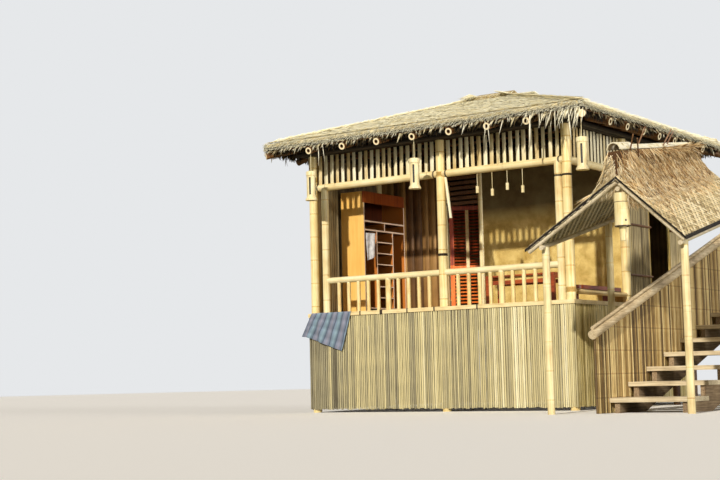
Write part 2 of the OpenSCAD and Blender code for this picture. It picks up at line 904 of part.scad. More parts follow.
// Low bench behind the right railing: a slatted seat on four legs with a rail all round
module slatted_bench() {
    x0 = xm + bench_x;
    y0 = bench_y;
    z0 = floor_h + seat;
    zs = z0 + bench_h - bench_t;
    pitch_y = (bench_d - bench_slat_w) / (bench_slats - 1);
    color("firebrick") {
        for (x = [x0, x0 + bench_w - bench_leg], y = [y0, y0 + bench_d - bench_leg])
            board([x, y, z0], [x + bench_leg, y + bench_leg, zs]);
        for (i = [0 : bench_slats - 1])
            translate([x0, y0 + i * pitch_y, zs]) cube([bench_w, bench_slat_w, bench_t]);
        for (x = [x0, x0 + bench_w - bench_leg])
            board([x, y0, zs - apron_w], [x + bench_leg, y0 + bench_d, zs + 1]);
        for (y = [y0, y0 + bench_d - bench_t])
            board([x0, y, zs - 2 * apron_w], [x0 + bench_w, y + bench_t, zs - apron_w]);
    }
}

// Hanging pieces

// A culm on a string, with a collar, a flared foot and a tall window on four sides
module lantern() {
    r = lantern_d / 2;
    l = lantern_l;
    translate([0, 0, -lantern_drop]) cylinder(d = string_d, h = lantern_drop);
    translate([0, 0, -lantern_drop - l]) difference() {
        rotate_extrude() polygon([[0, 0], [r + lantern_flare, 0], [r + lantern_flare, 22],
            [r, 60], [r, l - collar_h], [r + lantern_collar, l - collar_h],
            [r + lantern_collar, l - 12], [r, l], [0, l]]);
        for (a = [0 : 90 : 270])
            rotate([0, 0, a + 20]) translate([r - 24, -window_w / 2, 90])
                cube([2 * r, window_w, l - collar_h - 120]);
        translate([0, 0, -1]) cylinder(r = r - 14, h = 41);
    }
}

// Height of a string's top under a rafter of slope a, q inwards from the edge of the thatch
function hang_z(q, a) = axis_z(q - overhang) - rafter_d / 2 / cos(a)
    - string_d / 2 * tan(a) - seat;

// Under the first and the middle rafter of the front, and under the right hip
module lanterns() {
    q = rafter_back + 60;
    first = roof_w / 2 - overhang - rafter_in;
    color("khaki") {
        for (x = [-first, -first + 2 * first * floor(rafter_count / 2) / (rafter_count - 1)])
            translate([x, q - overhang, hang_z(q, pitch)]) lantern();
        translate([roof_w / 2 - q, q - overhang, hang_z(q, atan(tan(pitch) / sqrt(2)))])
            lantern();
    }
}

module wind_chimes() {
    z = beam_z - beam_d / 2 - seat;
    color("peru") for (i = [0 : 3])
        translate([xm + right_bay * (0.3 + 0.12 * i), 0, z]) {
            drop = chime_drop * (i % 2 == 1 ? 1 : 0.75);
            translate([0, 0, -drop]) cylinder(d = string_d, h = drop);
            translate([0, 0, -drop - chime_l]) difference() {
                culm(chime_d, chime_l);
                translate([0, 0, -1]) cylinder(d = chime_d - 12, h = chime_l * 0.6);
            }
        }
}

// Blanket hung over the floor's edge, in front of the skirt
module blanket() {
    x0 = xl - 150;
    y0 = -face - edge_t - 3 * seat;
    color("slateblue") translate([x0, 0, 0]) rotate([90, 0, 90]) linear_extrude(blanket_w)
        polygon([[-face - seat, floor_h + seat], [-face - seat, floor_h + blanket_t],
            [y0 - blanket_t, floor_h + blanket_t], [y0 - blanket_t, floor_h - blanket_h],
            [y0, floor_h - blanket_h], [y0, floor_h + seat]]);
}

// Path and landing

module path_treads() {
    color("tan") for (i = [1 : risers - 1])
        board([path_x, path_y + (i - 1) * tread_d, i * rise - tread_t],
            [path_x + path_w, path_y + i * tread_d - 8, i * rise]);
}

// Timber strings cut to steps under the treads, their upper ends on legs
module path_strings() {
    top = [for (i = [1 : risers - 1], y = i < risers - 1 ? [i - 1, i] : [i - 1])
        [path_y + 40 + y * tread_d, i * rise - tread_t - seat]];
    under = string_depth / cos(path_slope);
    end_z = floor_h - rise - tread_t - under;
    leg = 120;
    color("sienna") for (x = [path_x + 60, path_x + path_w - 60 - string_t]) {
        translate([x, 0, 0]) rotate([90, 0, 90]) linear_extrude(string_t)
            polygon(concat([[path_y + 40, 0]], top,
                [[landing_y + seat, floor_h - rise - tread_t - seat],
                [landing_y + seat, floor_h - tread_t - seat],
                [landing_y + 40, floor_h - tread_t - seat], [landing_y + 40, end_z],
                [landing_y + 40 - leg, end_z],
                [landing_y + 40 - leg, end_z - leg * rise / tread_d],
                [landing_y + 40 - end_z * tread_d / rise, 0]]));
        board([x, landing_y + 40 - leg, 0], [x + string_t, landing_y + 40, end_z - seat]);
    }
}

module landing_deck() {
    color("tan") board([landing_x, landing_y, floor_h - tread_t],
        [path_x + path_w, landing_y + landing_d, floor_h]);
}

function landing_post_xs() = [landing_x + 260, path_x + path_w - 110];
function landing_post_ys() = [landing_y + 40 + max(landing_post_d, landing_beam_d) / 2 + seat,
    landing_y + landing_d - 110];

module landing_frame() {
    zb = floor_h - tread_t - landing_beam_d / 2 - seat;
    color("tan") {
        for (y = landing_post_ys())
            pole([landing_x + 10, y, zb], [path_x + path_w - 10, y, zb], landing_beam_d);
        for (x = landing_post_xs(), y = landing_post_ys())
            difference() {
                translate([x, y, 0]) culm(landing_post_d, zb);
                bore([x - 100, y, zb], [x + 100, y, zb], landing_beam_d);
            }
    }
}

// Height of the line along the front edges of the treads at y
function step_z(y) = rise + (y - path_y) * rise / tread_d;

module handrail() {
    x = path_x - 10 - seat;
    a = [x, path_y - handrail_out, step_z(path_y - handrail_out) + handrail_h];
    b = [x, landing_y + 60, step_z(landing_y + 60) + handrail_h];
    up = [0, 0, (handrail_d / 2 + top_culm_d / 2 + seat) / cos(path_slope)];
    color("tan") {
        pole(a, b, handrail_d);
        pole(a + up, b + up, top_culm_d);
    }
}

// Slats under the handrail, down to the strings
module handrail_slats() {
    x = path_x - 10 - seat;
    ya = path_y - handrail_out + 40;
    yc = landing_y - seat;
    top = handrail_h - (handrail_d / 2 + seat) / cos(path_slope);
    foot = string_depth + 160;
    ym = path_y + (foot - rise) * tread_d / rise;
    color("darkkhaki") translate([x - 10, 0, 0]) rotate([90, 0, 90]) linear_extrude(20)
        polygon([[ya, 0], [ym, 0], [yc, step_z(yc) - foot], [yc, step_z(yc) + top],
            [ya, step_z(ya) + top]]);
}

// Canopy, drawn with its ridge line over the Y axis and its eaves at Z = 0

module on_canopy() {
    translate([canopy_x, canopy_y, canopy_eave]) rotate([canopy_tilt, 0, 0]) children();
}

// A woven panel from the eave to the ridge
module canopy_panel(w) {
    a = atan(canopy_rise / w);
    up = canopy_t / cos(a);
    rotate([90, 0, 0]) translate([0, 0, -canopy_l]) linear_extrude(canopy_l)
        polygon([[0.2, canopy_rise], [w, 0], [w, up], [0.2, canopy_rise + up]]);
}

module canopy_left_panel() {
    color("gainsboro") on_canopy() mirror([1, 0, 0]) canopy_panel(canopy_left);
}

module canopy_right_panel() {
    color("wheat") on_canopy() canopy_panel(canopy_right);
}

// Height of a cross pole's axis at distance w from the ridge, lying under a panel
function under_left(w) = canopy_rise * (1 - w / canopy_left)
    - (canopy_pole_d / 2 + seat) / cos(left_slope);
function under_right(w) = canopy_rise * (1 - w / canopy_right)
    - (canopy_pole_d / 2 + seat) / cos(right_slope);

// Heights of the long poles' axes, which lie under the cross poles
long_left = under_left(post_left) - (canopy_pole_d + seat) / cos(left_slope);
long_right = under_right(post_right) - (canopy_pole_d + seat) / cos(right_slope);
long_ridge = canopy_rise - (1.5 * canopy_pole_d + 2 * seat) / cos(max(left_slope, right_slope));

module canopy_poles() {
    pr = canopy_pole_d / 2;
    color("wheat") on_canopy() {
        for (p = [[-post_left, long_left], [post_right, long_right], [0, long_ridge]])
            pole([p[0], 15, p[1]], [p[0], canopy_l - 15, p[1]], canopy_pole_d);
        for (y = [15 + pr, canopy_l - 15 - pr]) {
            wl = pr * sin(left_slope) + 1;
            wr = pr * sin(right_slope) + 1;
            pole([-canopy_left + 40, y, under_left(canopy_left - 40)],
                [-wl, y, under_left(wl)], canopy_pole_d);
            pole([canopy_right - 40, y, under_right(canopy_right - 40)],
                [wr, y, under_right(wr)], canopy_pole_d);
        }
    }
}

// A point of the canopy as it stands: w across, y along and h up
function canopy_point(w, y, h) = [canopy_x + w,
    canopy_y + y * cos(canopy_tilt) - h * sin(canopy_tilt),
    canopy_eave + y * sin(canopy_tilt) + h * cos(canopy_tilt)];

// Posts whose tops are notched for the long poles
module canopy_posts() {
    color("wheat") for (p = [[-post_left, long_left], [post_right, long_right]],
            y = [150, canopy_l - 350]) {
        top = canopy_point(p[0], y, p[1]);
        difference() {
            translate([top[0], top[1], 0]) culm(canopy_post_d, top[2]);
            bore(canopy_point(p[0], y - 200, p[1]), canopy_point(p[0], y + 200, p[1]),
                canopy_pole_d);
        }
    }
}

// Outline of the thatch heaped on a panel of width w: it flares from a steep neck
// under the cap to a thin edge lying on the panel
function mound_outline(w) =
    let (ridge = canopy_rise + panel_up,
        slope = canopy_rise / w,
        on_panel = canopy_t / cos(atan(slope)) + seat,
        n = mound_neck,
        h = mound_h)
    concat([[seat, ridge], [seat, ridge + h], [n, ridge + h]],
        [for (t = [0.15 : 0.17 : 1]) let (u = n + (mound_half - n) * t)
            [u, canopy_rise - u * slope + on_panel + 25 + (h - 25 + n * slope) * pow(1 - t, 2.2)]],
        [[mound_half, canopy_rise - mound_half * slope + on_panel]]);

// Thatch heaped over the canopy's ridge, one half on each panel, lower towards the back
module canopy_thatch() {
    top = canopy_rise + panel_up + mound_h;
    color("peru") on_canopy() difference() {
        rotate([90, 0, 0]) translate([0, 0, -canopy_l + canopy_in]) linear_extrude(mound_l) {
            polygon(mound_outline(canopy_right));
            mirror([1, 0]) polygon(mound_outline(canopy_left));
        }
        translate([-canopy_left, canopy_in, top]) rotate([-mound_fall, 0, 0])
            translate([0, -cut, 0]) cube([2 * canopy_left, mound_l * 1.1, mound_h]);
    }
}

// Puts a piece on top of the heaped thatch, y along it from its front
module on_mound(y) {
    on_canopy() translate([0, canopy_in, cap_z]) rotate([-mound_fall, 0, 0])
        translate([0, y, 0]) children();
}

// Half of a culm, split along its length, lying along Y
module culm_half(d, l) {
    rotate([-90, 0, 0]) difference() {
        cylinder(d = d, h = l);
        translate([0, 0, -1]) cylinder(d = d - 24, h = l + 2);
        translate([-d, 0, -1]) cube([2 * d, d, l + 2]);
    }
}

// Culm halves along the top of the heaped thatch, the front one wide with a hole in its side
module canopy_cap() {
    n = 4;
    l = (mound_l / cos(mound_fall) - front_cap_l) / n;
    color("khaki") {
        on_mound(0) difference() {
            culm_half(front_cap_d, front_cap_l - 8);
            translate([0, front_cap_l * 0.35, 0]) rotate([0, 50, 0])
                cylinder(d = cap_hole_d, h = front_cap_d);
        }
        for (i = [0 : n - 1]) on_mound(front_cap_l + i * l) culm_half(canopy_cap_d, l - 8);
    }
}

// Bamboo bell on a string under the front of the ridge pole, with a tapered clapper
module bamboo_bell() {
    drop = 40;
    clapper_d = bell_d * 0.55;
    top = canopy_point(0, 140, long_ridge);
    z = top[2] - (canopy_pole_d / 2) / cos(canopy_tilt) - string_d / 2 * tan(canopy_tilt)
        - seat;
    color("khaki") translate([top[0], top[1], z]) {
        translate([0, 0, -drop]) cylinder(d = string_d, h = drop);
        translate([0, 0, -drop - bell_l]) difference() {
            culm(bell_d, bell_l);
            translate([0, 0, -1]) cylinder(d = bell_d - 2 * bell_wall, h = bell_l * 0.7);
        }
        translate([0, 0, -drop - bell_l + 100]) cylinder(d = string_d, h = bell_l * 0.75 - 100);
        translate([0, 0, -drop - bell_l - clapper_out]) rotate_extrude()
            polygon([[0, 0], [clapper_d / 2 - 22, 0], [clapper_d / 2, 250],
                [clapper_d / 2 - 12, 280], [0, 290]]);
    }
}

at_origin() front_posts();
at_origin() jack_posts();
at_origin() middle_posts();
at_origin() rear_posts();
at_origin() floor_bearers();
at_origin() floor_joists();
at_origin() floor_deck();
at_origin() floor_edges();
at_origin() front_skirt();
at_origin() left_skirt();
at_origin() right_skirt();
at_origin() rear_skirt();
at_origin() left_railing();
at_origin() right_railing();
at_origin() side_rail();
at_origin() side_seat();
at_origin() valance_beams();
at_origin() left_valance();
at_origin() right_valance();
at_origin() side_valance();
at_origin() wall_plates();
at_origin() front_rafters();
at_origin() left_rafters();
at_origin() right_rafters();
at_origin() rear_rafters();
at_origin() hip_rafters();
at_origin() eave_poles();
at_origin() roof_battens();
at_origin() front_thatch();
at_origin() left_thatch();
at_origin() right_thatch();
at_origin() rear_thatch();
at_origin() ridge_cap();
at_origin() board_wall();
at_origin() mat_wall();
at_origin() door_posts();
at_origin() door_leaf();
at_origin() door_transom();
at_origin() left_wall();
at_origin() right_wall();
at_origin() rear_wall();
at_origin() shelf_unit();
at_origin() slatted_bench();
at_origin() lanterns();
at_origin() wind_chimes();
at_origin() blanket();
at_origin() path_treads();
at_origin() path_strings();
at_origin() landing_deck();
at_origin() landing_frame();
at_origin() handrail();
at_origin() handrail_slats();
at_origin() canopy_posts();
at_origin() canopy_poles();
at_origin() canopy_left_panel();
at_origin() canopy_right_panel();
at_origin() canopy_thatch();
at_origin() canopy_cap();
at_origin() bamboo_bell();
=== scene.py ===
import json
import math
import random

import bmesh
import bpy
import numpy as np
from mathutils import Matrix, Vector


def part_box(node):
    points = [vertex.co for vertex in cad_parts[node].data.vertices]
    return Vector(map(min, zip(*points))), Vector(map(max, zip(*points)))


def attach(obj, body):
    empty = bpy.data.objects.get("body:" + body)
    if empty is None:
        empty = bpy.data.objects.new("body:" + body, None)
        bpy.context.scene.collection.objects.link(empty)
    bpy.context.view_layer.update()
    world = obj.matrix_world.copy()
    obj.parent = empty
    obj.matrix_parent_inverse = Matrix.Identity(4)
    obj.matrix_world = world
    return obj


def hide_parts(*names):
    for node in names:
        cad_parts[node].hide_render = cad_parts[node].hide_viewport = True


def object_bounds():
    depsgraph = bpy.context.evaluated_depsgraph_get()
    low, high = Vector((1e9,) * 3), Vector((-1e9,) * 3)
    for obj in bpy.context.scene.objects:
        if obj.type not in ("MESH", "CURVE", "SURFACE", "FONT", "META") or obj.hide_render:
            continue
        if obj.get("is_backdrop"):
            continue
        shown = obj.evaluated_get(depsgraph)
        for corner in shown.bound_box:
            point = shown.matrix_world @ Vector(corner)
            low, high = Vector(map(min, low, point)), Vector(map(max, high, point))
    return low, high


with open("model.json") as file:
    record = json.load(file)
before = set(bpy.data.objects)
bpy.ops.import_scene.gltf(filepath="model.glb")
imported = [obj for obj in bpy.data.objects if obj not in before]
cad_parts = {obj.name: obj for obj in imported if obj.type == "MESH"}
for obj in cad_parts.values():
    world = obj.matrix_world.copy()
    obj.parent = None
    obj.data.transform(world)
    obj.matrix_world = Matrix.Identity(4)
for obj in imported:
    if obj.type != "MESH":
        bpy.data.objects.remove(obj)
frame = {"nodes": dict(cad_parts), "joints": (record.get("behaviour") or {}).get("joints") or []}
cad_lo, cad_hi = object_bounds()
bpy.ops.object.select_all(action="DESELECT")
chance = random.Random(11)
between = chance.uniform
X, Y, UP = Vector((1, 0, 0)), Vector((0, 1, 0)), Vector((0, 0, 1))

# Lines of the house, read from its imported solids
POST_R, JACK_R, BEAM_R, SIDE_RAIL_R = 0.070, 0.060, 0.0575, 0.040
LEFT_BAY, JACK_HIGH = 2.470, 2.0575
RING_PITCH = 0.380
posts_lo, posts_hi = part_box("front_posts")
left_x, right_x = posts_lo.x + POST_R, posts_hi.x - POST_R
middle_x = left_x + LEFT_BAY
front_y, post_top = posts_lo.y + POST_R, posts_hi.z
inner_y, rear_y = (sum(p.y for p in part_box(node)) / 2 for node in ("middle_posts", "rear_posts"))
floor_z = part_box("floor_deck")[1].z
beam_z = sum(p.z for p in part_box("valance_beams")) / 2
edge_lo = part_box("floor_edges")[0]
JACK_X = left_x + 0.230, right_x - 0.140

# Roof: rectangle of the thatch, its pitch and its thickness measured upright
PITCH = math.radians(17)
RISE = math.tan(PITCH)
THATCH = 0.120 / math.cos(PITCH)
NOSE, EDGE_IN = 0.070, 0.055
roof_x0, roof_x1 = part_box("left_thatch")[0].x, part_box("right_thatch")[1].x
roof_y0, roof_y1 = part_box("front_thatch")[0].y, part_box("rear_thatch")[1].y
roof_wide, roof_deep = roof_x1 - roof_x0, roof_y1 - roof_y0
roof_mid = Vector(((roof_x0 + roof_x1) / 2, (roof_y0 + roof_y1) / 2, 0))
roof_run = min(roof_wide, roof_deep) / 2
eave_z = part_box("front_thatch")[0].z
# Rafters lie on the wall plates, whose axes are OVERHANG in from the roof's edge
PLATE_R, RAFTER_R, SEAT_GAP, OVERHANG = 0.060, 0.055, 0.0003, 0.620

# Path: its front edge and its steps
path_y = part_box("path_treads")[0].y
TREAD, STEP = 0.6057, 0.200

# Canopy over the path, leaning up towards the house
TILT = math.radians(13.5)
CANOPY_RISE, CANOPY_LONG, CANOPY_THICK = 0.840, 2.500, 0.025
MOUND_H, MOUND_BACK, MOUND_HALF, MOUND_NECK, MOUND_IN = 0.330, 0.090, 0.360, 0.080, 0.060
left_panel_lo, left_panel_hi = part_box("canopy_left_panel")
canopy_x, canopy_z = left_panel_hi.x, left_panel_lo.z
canopy_wide = {-1: canopy_x - left_panel_lo.x, 1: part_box("canopy_right_panel")[1].x - canopy_x}
canopy_y = left_panel_hi.y - CANOPY_LONG * math.cos(TILT)


# Helpers for materials

LEVELS = (0.3, 0.5, 0.68)
# Spacing of a Wave texture at scale 1
WAVE = 0.31416


def linear(colour):
    """An sRGB hex colour as linear RGBA."""
    parts = [int(colour[i : i + 2], 16) / 255 for i in (0, 2, 4)]
    return [p / 12.92 if p <= 0.04045 else ((p + 0.055) / 1.055) ** 2.4 for p in parts] + [1]


def add(tree, kind, links=None, stops=None, out=0, **settings):
    """Adds a shader node with its settings, its socket values, colours or links, and its colour
    stops, and gives the output that is asked for."""
    made = tree.nodes.new("ShaderNode" + kind)
    for key, value in settings.items():
        setattr(made, key, value)
    for socket, value in (links or {}).items():
        if isinstance(value, bpy.types.NodeSocket):
            tree.links.new(value, made.inputs[socket])
        else:
            made.inputs[socket].default_value = linear(value) if isinstance(value, str) else value
    if stops:
        band = made.color_ramp.elements
        while len(band) < len(stops):
            band.new(0.5)
        for element, (place, colour) in zip(band, stops):
            element.position = place
            element.color = linear(colour) if isinstance(colour, str) else [colour] * 3 + [1]
    return made.outputs[out] if made.outputs else None


def shades(colours, levels=LEVELS):
    """Colour stops: hex colours at their levels."""
    return list(zip(levels, colours.split()))


def begin(name, rough=0.5):
    """An empty material, its nodes and the inputs of its shader."""
    made = bpy.data.materials.new(name)
    made.use_nodes = True
    tree = made.node_tree
    tree.nodes.clear()
    shader = add(tree, "BsdfPrincipled", {"Roughness": rough})
    add(tree, "OutputMaterial", {"Surface": shader})
    return made, tree, shader.node.inputs


def coat(tree, surface, colour, height, relief, strength=0.5):
    """Lays a colour on a surface, and a relief in mm that follows a height."""
    bump = add(tree, "Bump", {"Height": height, "Distance": relief / 1000, "Strength": strength})
    tree.links.new(colour, surface["Base Color"])
    tree.links.new(bump, surface["Normal"])


def stain(tree, colour, other, *masks, how="MIX"):
    """The colour with another, a hex colour or a socket, where all of the masks are 1."""
    where = masks[0]
    for mask in masks[1:]:
        where = add(tree, "Math", {0: where, 1: mask}, operation="MULTIPLY")
    links = {"Factor": where, "A": colour, "B": other}
    return add(tree, "Mix", links, out="Result", data_type="RGBA", blend_type=how)


def inside_plane(tree, place, normal, offset):
    """1 where a point lies less than offset along a direction."""
    far = add(tree, "VectorMath", {0: place, 1: normal}, out="Value", operation="DOT_PRODUCT")
    return add(tree, "Math", {0: far, 1: offset}, operation="LESS_THAN")


def inside_round(tree, place, centre, radius):
    """1 where a point lies within a radius of a centre."""
    away = add(tree, "VectorMath", {0: place, 1: centre}, out="Value", operation="DISTANCE")
    return add(tree, "Math", {0: away, 1: radius}, operation="LESS_THAN")


def repeats(tree, value, pitch):
    """0 to 1 over each pitch of a value, again and again."""
    turns = add(tree, "Math", {0: value, 1: pitch}, operation="DIVIDE")
    return add(tree, "Math", {0: turns}, operation="FRACT")


def fibre(tree, along, grain, patches, tint=0.0):
    """Place on the piece, and the streaks and the shade of plant fibre: the width and length of
    a streak and the size of a patch in mm, and how much of each copy's own shade is mixed in."""
    place = add(tree, "TexCoord", out="Object")
    stretch = [1000 / grain[0]] * 3
    stretch[along] = 1000 / grain[1]
    lengthwise = add(tree, "Mapping", {"Vector": place, "Scale": stretch})
    links = {"Vector": lengthwise, "Scale": 1.0, "Detail": 4.0, "Roughness": 0.6}
    streaks = add(tree, "TexNoise", links)
    broad = add(tree, "TexNoise", {"Vector": place, "Scale": 1000 / patches, "Detail": 3.0})
    shade = add(tree, "Mix", {"Factor": 0.4, "A": streaks, "B": broad})
    if tint:
        own = add(tree, "Attribute", out="Fac", attribute_name="tint")
        shade = add(tree, "Mix", {"Factor": tint, "A": shade, "B": own})
    return place, streaks, shade


def growth_rings(tree, colour, along, pitch, start):
    """Nodes of a culm: a thin dark line where the sheath sat, a pale waxy band beside it."""
    height = add(tree, "Math", {0: along, 1: start}, operation="SUBTRACT")
    # Tones at their distances from the node, in centimetres
    tones = (-6, 0.5), (-1.2, 0.60), (-0.6, 0.30), (0.6, 0.34), (1.4, 0.57), (7, 0.5)
    stops = [(0.5 + aside * (0.010 / pitch), tone) for aside, tone in tones]
    band = add(tree, "ValToRGB", {"Fac": repeats(tree, height, pitch)}, stops)
    return stain(tree, colour, band, 0.8, how="OVERLAY")


def dark_sides(tree, colour, dark, half):
    """The sides of a split slat, darker where they are half its width from its middle."""
    own = add(tree, "Attribute", out="Vector", attribute_name="own")
    aside = add(tree, "SeparateXYZ", {"Vector": own})
    aside = add(tree, "Math", {0: aside}, operation="ABSOLUTE")
    near = add(tree, "MapRange", {"Value": aside, "From Min": half * 0.62, "From Max": half})
    return stain(tree, colour, dark, near, 0.75)


def dress(material, *nodes):
    """Gives CAD nodes their material."""
    for node in nodes:
        worn = frame["nodes"][node].data.materials
        worn.clear()
        worn.append(material)


def fibre_finish(
    name, colours, along, grain, rough=0.55, relief=0.6, patches=300, tint=0.0, rings=None,
    edge=0.0, levels=LEVELS, strength=0.6, marks=None, on="",
):
    """Plant fibre along one axis, from its dark to its light hex colour. relief is in mm, rings
    is (pitch, start) of the growth rings, edge the half width of a split slat whose sides are
    darker, levels the shades at which the colours stand, strength how far the relief shows,
    marks what else the surface shows, on the CAD nodes that wear it."""
    made, tree, surface = begin(name, rough)
    place, streaks, shade = fibre(tree, along, grain, patches, tint)
    colour = add(tree, "ValToRGB", {"Fac": shade}, shades(colours, levels))
    if rings:
        axis = add(tree, "SeparateXYZ", {"Vector": place}, out=along)
        colour = growth_rings(tree, colour, axis, *rings)
    if edge:
        colour = dark_sides(tree, colour, colours.split()[0], edge)
    if marks:
        colour = marks(tree, place, shade, colour)
    coat(tree, surface, colour, streaks, relief, strength)
    dress(made, *on.split())
    return made


# Helpers for shapes


def keep(piece, name, material, slot, *stands_for, body="root"):
    """Names a finished piece, gives it its material, and lets it ride on its body; slot is not used.
    """
    piece.name = piece.data.name = name
    piece.data.materials.clear()
    piece.data.materials.append(material)
    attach(piece, body)
    if stands_for:
        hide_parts(*stands_for)
    return piece


def field(items, name, width=1, kind=np.int64):
    """One field of all the vertices, corners or faces of a mesh."""
    values = np.empty(len(items) * width, dtype=kind)
    items.foreach_get(name, values)
    return values


def copies(models, places):
    """One piece with a copy of a model at each place, given as matrix, tint and, if it matters,
    the model's number. The models are dropped after."""
    models = models if isinstance(models, list) else [models]
    picked = [p[2] if len(p) > 2 else chance.randrange(len(models)) for p in places]
    points, corners, sides, tints, own, count = [], [], [], [], [], 0
    for number, model in enumerate(models):
        mesh = model.data
        shape = field(mesh.vertices, "co", 3, np.float64).reshape(-1, 3)
        loops, rounds = field(mesh.loops, "vertex_index"), field(mesh.polygons, "loop_total")
        bpy.data.objects.remove(model)
        mine = [p for p, pick in zip(places, picked) if pick == number]
        if not mine:
            continue
        turns = np.array([p[0] for p in mine])
        at = np.einsum("vk,nik->nvi", shape, turns[:, :3, :3]) + turns[:, None, :3, 3]
        points.append(at.reshape(-1, 3))
        starts = count + np.arange(len(mine)) * len(shape)
        corners.append((loops + starts[:, None]).ravel())
        sides.append(np.tile(rounds, len(mine)))
        tints.append(np.repeat([p[1] for p in mine], len(shape)))
        own.append(np.tile(shape, (len(mine), 1)))
        count += len(mine) * len(shape)
    corners, sides = np.concatenate(corners), np.concatenate(sides)
    mesh = bpy.data.meshes.new("copies")
    mesh.vertices.add(count)
    mesh.vertices.foreach_set("co", np.concatenate(points).ravel())
    mesh.loops.add(len(corners))
    mesh.loops.foreach_set("vertex_index", corners)
    mesh.polygons.add(len(sides))
    mesh.polygons.foreach_set("loop_start", np.concatenate(([0], np.cumsum(sides)[:-1])))
    mesh.update(calc_edges=True)
    for name, kind, part, values in (
        ("tint", "FLOAT", "value", tints),
        ("own", "FLOAT_VECTOR", "vector", own),
    ):
        values = np.concatenate(values).astype(np.float32).ravel()
        mesh.attributes.new(name, kind, "POINT").data.foreach_set(part, values)
    made = bpy.data.objects.new("copies", mesh)
    bpy.context.scene.collection.objects.link(made)
    return made


def basis(x_dir, y_dir, z_dir, at):
    """The place of a model whose axes point along three directions, each with its length."""
    turn = Matrix((x_dir, y_dir, z_dir)).transposed().to_4x4()
    turn.translation = at
    return turn


def lay(root, heading, normal, wide, long):
    """The place of a blade that runs from its root along a heading, flat against a surface."""
    heading = heading.normalized()
    aside = heading.cross(normal).normalized()
    return basis(aside * wide, heading.cross(aside) * long, heading * long, root)


def reach(root, tip, normal, wide, tint):
    """The place and tint of a blade from its root to its tip."""
    run = tip - root
    return lay(root, run, normal, wide, run.length), tint


def settled():
    """The primitive just added, with its place in its mesh."""
    bpy.ops.object.transform_apply(location=True, rotation=True, scale=True)
    return bpy.context.object


def only(piece):
    """Selects one piece and nothing else."""
    bpy.ops.object.select_all(action="DESELECT")
    piece.select_set(True)
    bpy.context.view_layer.objects.active = piece


def smooth(piece, degrees=40):
    only(piece)
    bpy.ops.object.shade_smooth_by_angle(angle=math.radians(degrees))
    bpy.ops.object.select_all(action="DESELECT")
    return piece


def finish(piece, kind, **settings):
    """Adds a modifier to a piece and applies it."""
    step = piece.modifiers.new(kind.lower(), kind)
    for key, value in settings.items():
        setattr(step, key, value)
    bpy.context.view_layer.objects.active = piece
    bpy.ops.object.modifier_apply(modifier=step.name)


def edit(piece, steps):
    """Runs edit-mode steps on a piece, all of whose faces are selected."""
    only(piece)
    bpy.ops.object.mode_set(mode="EDIT")
    bpy.ops.mesh.select_mode(type="FACE")
    bpy.ops.mesh.select_all(action="SELECT")
    steps()
    bpy.ops.object.mode_set(mode="OBJECT")
    bpy.ops.object.select_all(action="DESELECT")
    return piece


# Models that are copied: blades of grass, culms, slats, rings


def rod_model(sides, radius, cuts):
    """A round rod from the origin along +Z, one long, its long edges cut into equal lengths."""
    bpy.ops.mesh.primitive_cylinder_add(vertices=sides, radius=radius, depth=1, location=UP / 2)
    made = settled()
    bpy.ops.object.mode_set(mode="EDIT")
    shape = bmesh.from_edit_mesh(made.data)
    for edge in shape.edges:
        edge.select = abs(edge.verts[0].co.z - edge.verts[1].co.z) > 0.5
    bpy.ops.mesh.select_mode(type="EDGE")
    bmesh.update_edit_mesh(made.data)
    bpy.ops.mesh.subdivide(number_cuts=cuts)
    bpy.ops.object.mode_set(mode="OBJECT")
    return made


def blade_model(bend, sway):
    """A grass blade from the origin along +Z, one long, tapered, drooping towards +Y."""
    made = rod_model(3, 0.55, 1)
    for v in made.data.vertices:
        up = v.co.z
        taper = (1 - 0.15 * up) if up < 0.9 else 0.25
        v.co.x = v.co.x * taper + sway * up * up
        v.co.y = v.co.y * taper * 0.035 + bend * up * up
    return made


def blade_models(droop=1.0):
    bends = (0.0, 0.0), (0.05, 0.8), (0.1, -0.9), (0.16, 1.4)
    return [blade_model(droop * bend, sway) for bend, sway in bends]


def pole_model(sides):
    """A thin culm of unit radius and unit length with a swelling at its middle node."""
    made = rod_model(sides, 1, 3)
    for v in made.data.vertices:
        if abs(v.co.z - 0.5) < 0.01:
            v.co = v.co * Vector((1.12, 1.12, 1)) + UP * 0.06
    return made


def turned(at, ahead, wide, long):
    """The place of a model at a point, turned along a direction and sized."""
    turn = Vector(ahead).to_track_quat("Z", "Y").to_matrix().to_4x4()
    return Matrix.Translation(at) @ turn @ Matrix.Diagonal((wide, wide, long, 1))


def pole_place(a, b, diameter):
    a, b = Vector(a), Vector(b)
    return turned(a, b - a, diameter / 2, (b - a).length)


def poles(places, sides=10):
    """One piece of thin culms."""
    return smooth(copies(pole_model(sides), places))


def ring_model(thick):
    bpy.ops.mesh.primitive_torus_add(
        major_radius=1.0, minor_radius=thick, major_segments=16, minor_segments=4
    )
    return bpy.context.object


def ring_places(a, b, radius):
    """Places of the raised rings of a culm, just over the grooves of its solid."""
    a, b = Vector(a), Vector(b)
    count = max(1, round((b - a).length / RING_PITCH))
    over = (b - a).normalized() * 0.008
    return [
        (turned(a + (b - a) * ((i + 0.5) / count) + over, b - a, radius, radius), between(0.2, 0.9))
        for i in range(count)
    ]


def lashing(at, ahead, radius, turns):
    """Places of the turns of a lashing of 10 mm cord round a culm, one beside the other."""
    at, ahead = Vector(at), Vector(ahead)
    return [
        (turned(at + ahead * (i - (turns - 1) / 2) * 0.010, ahead, radius, radius), chance.random())
        for i in range(turns)
    ]


def strip_model(width, thick, height):
    """An upright strip with its sharp edges taken off."""
    bpy.ops.mesh.primitive_cube_add(size=1, location=UP / 2)
    made = settled()
    made.data.transform(Matrix.Diagonal((width, thick, height, 1)))
    finish(made, "BEVEL", width=min(0.0025, thick / 3), segments=1)
    return made


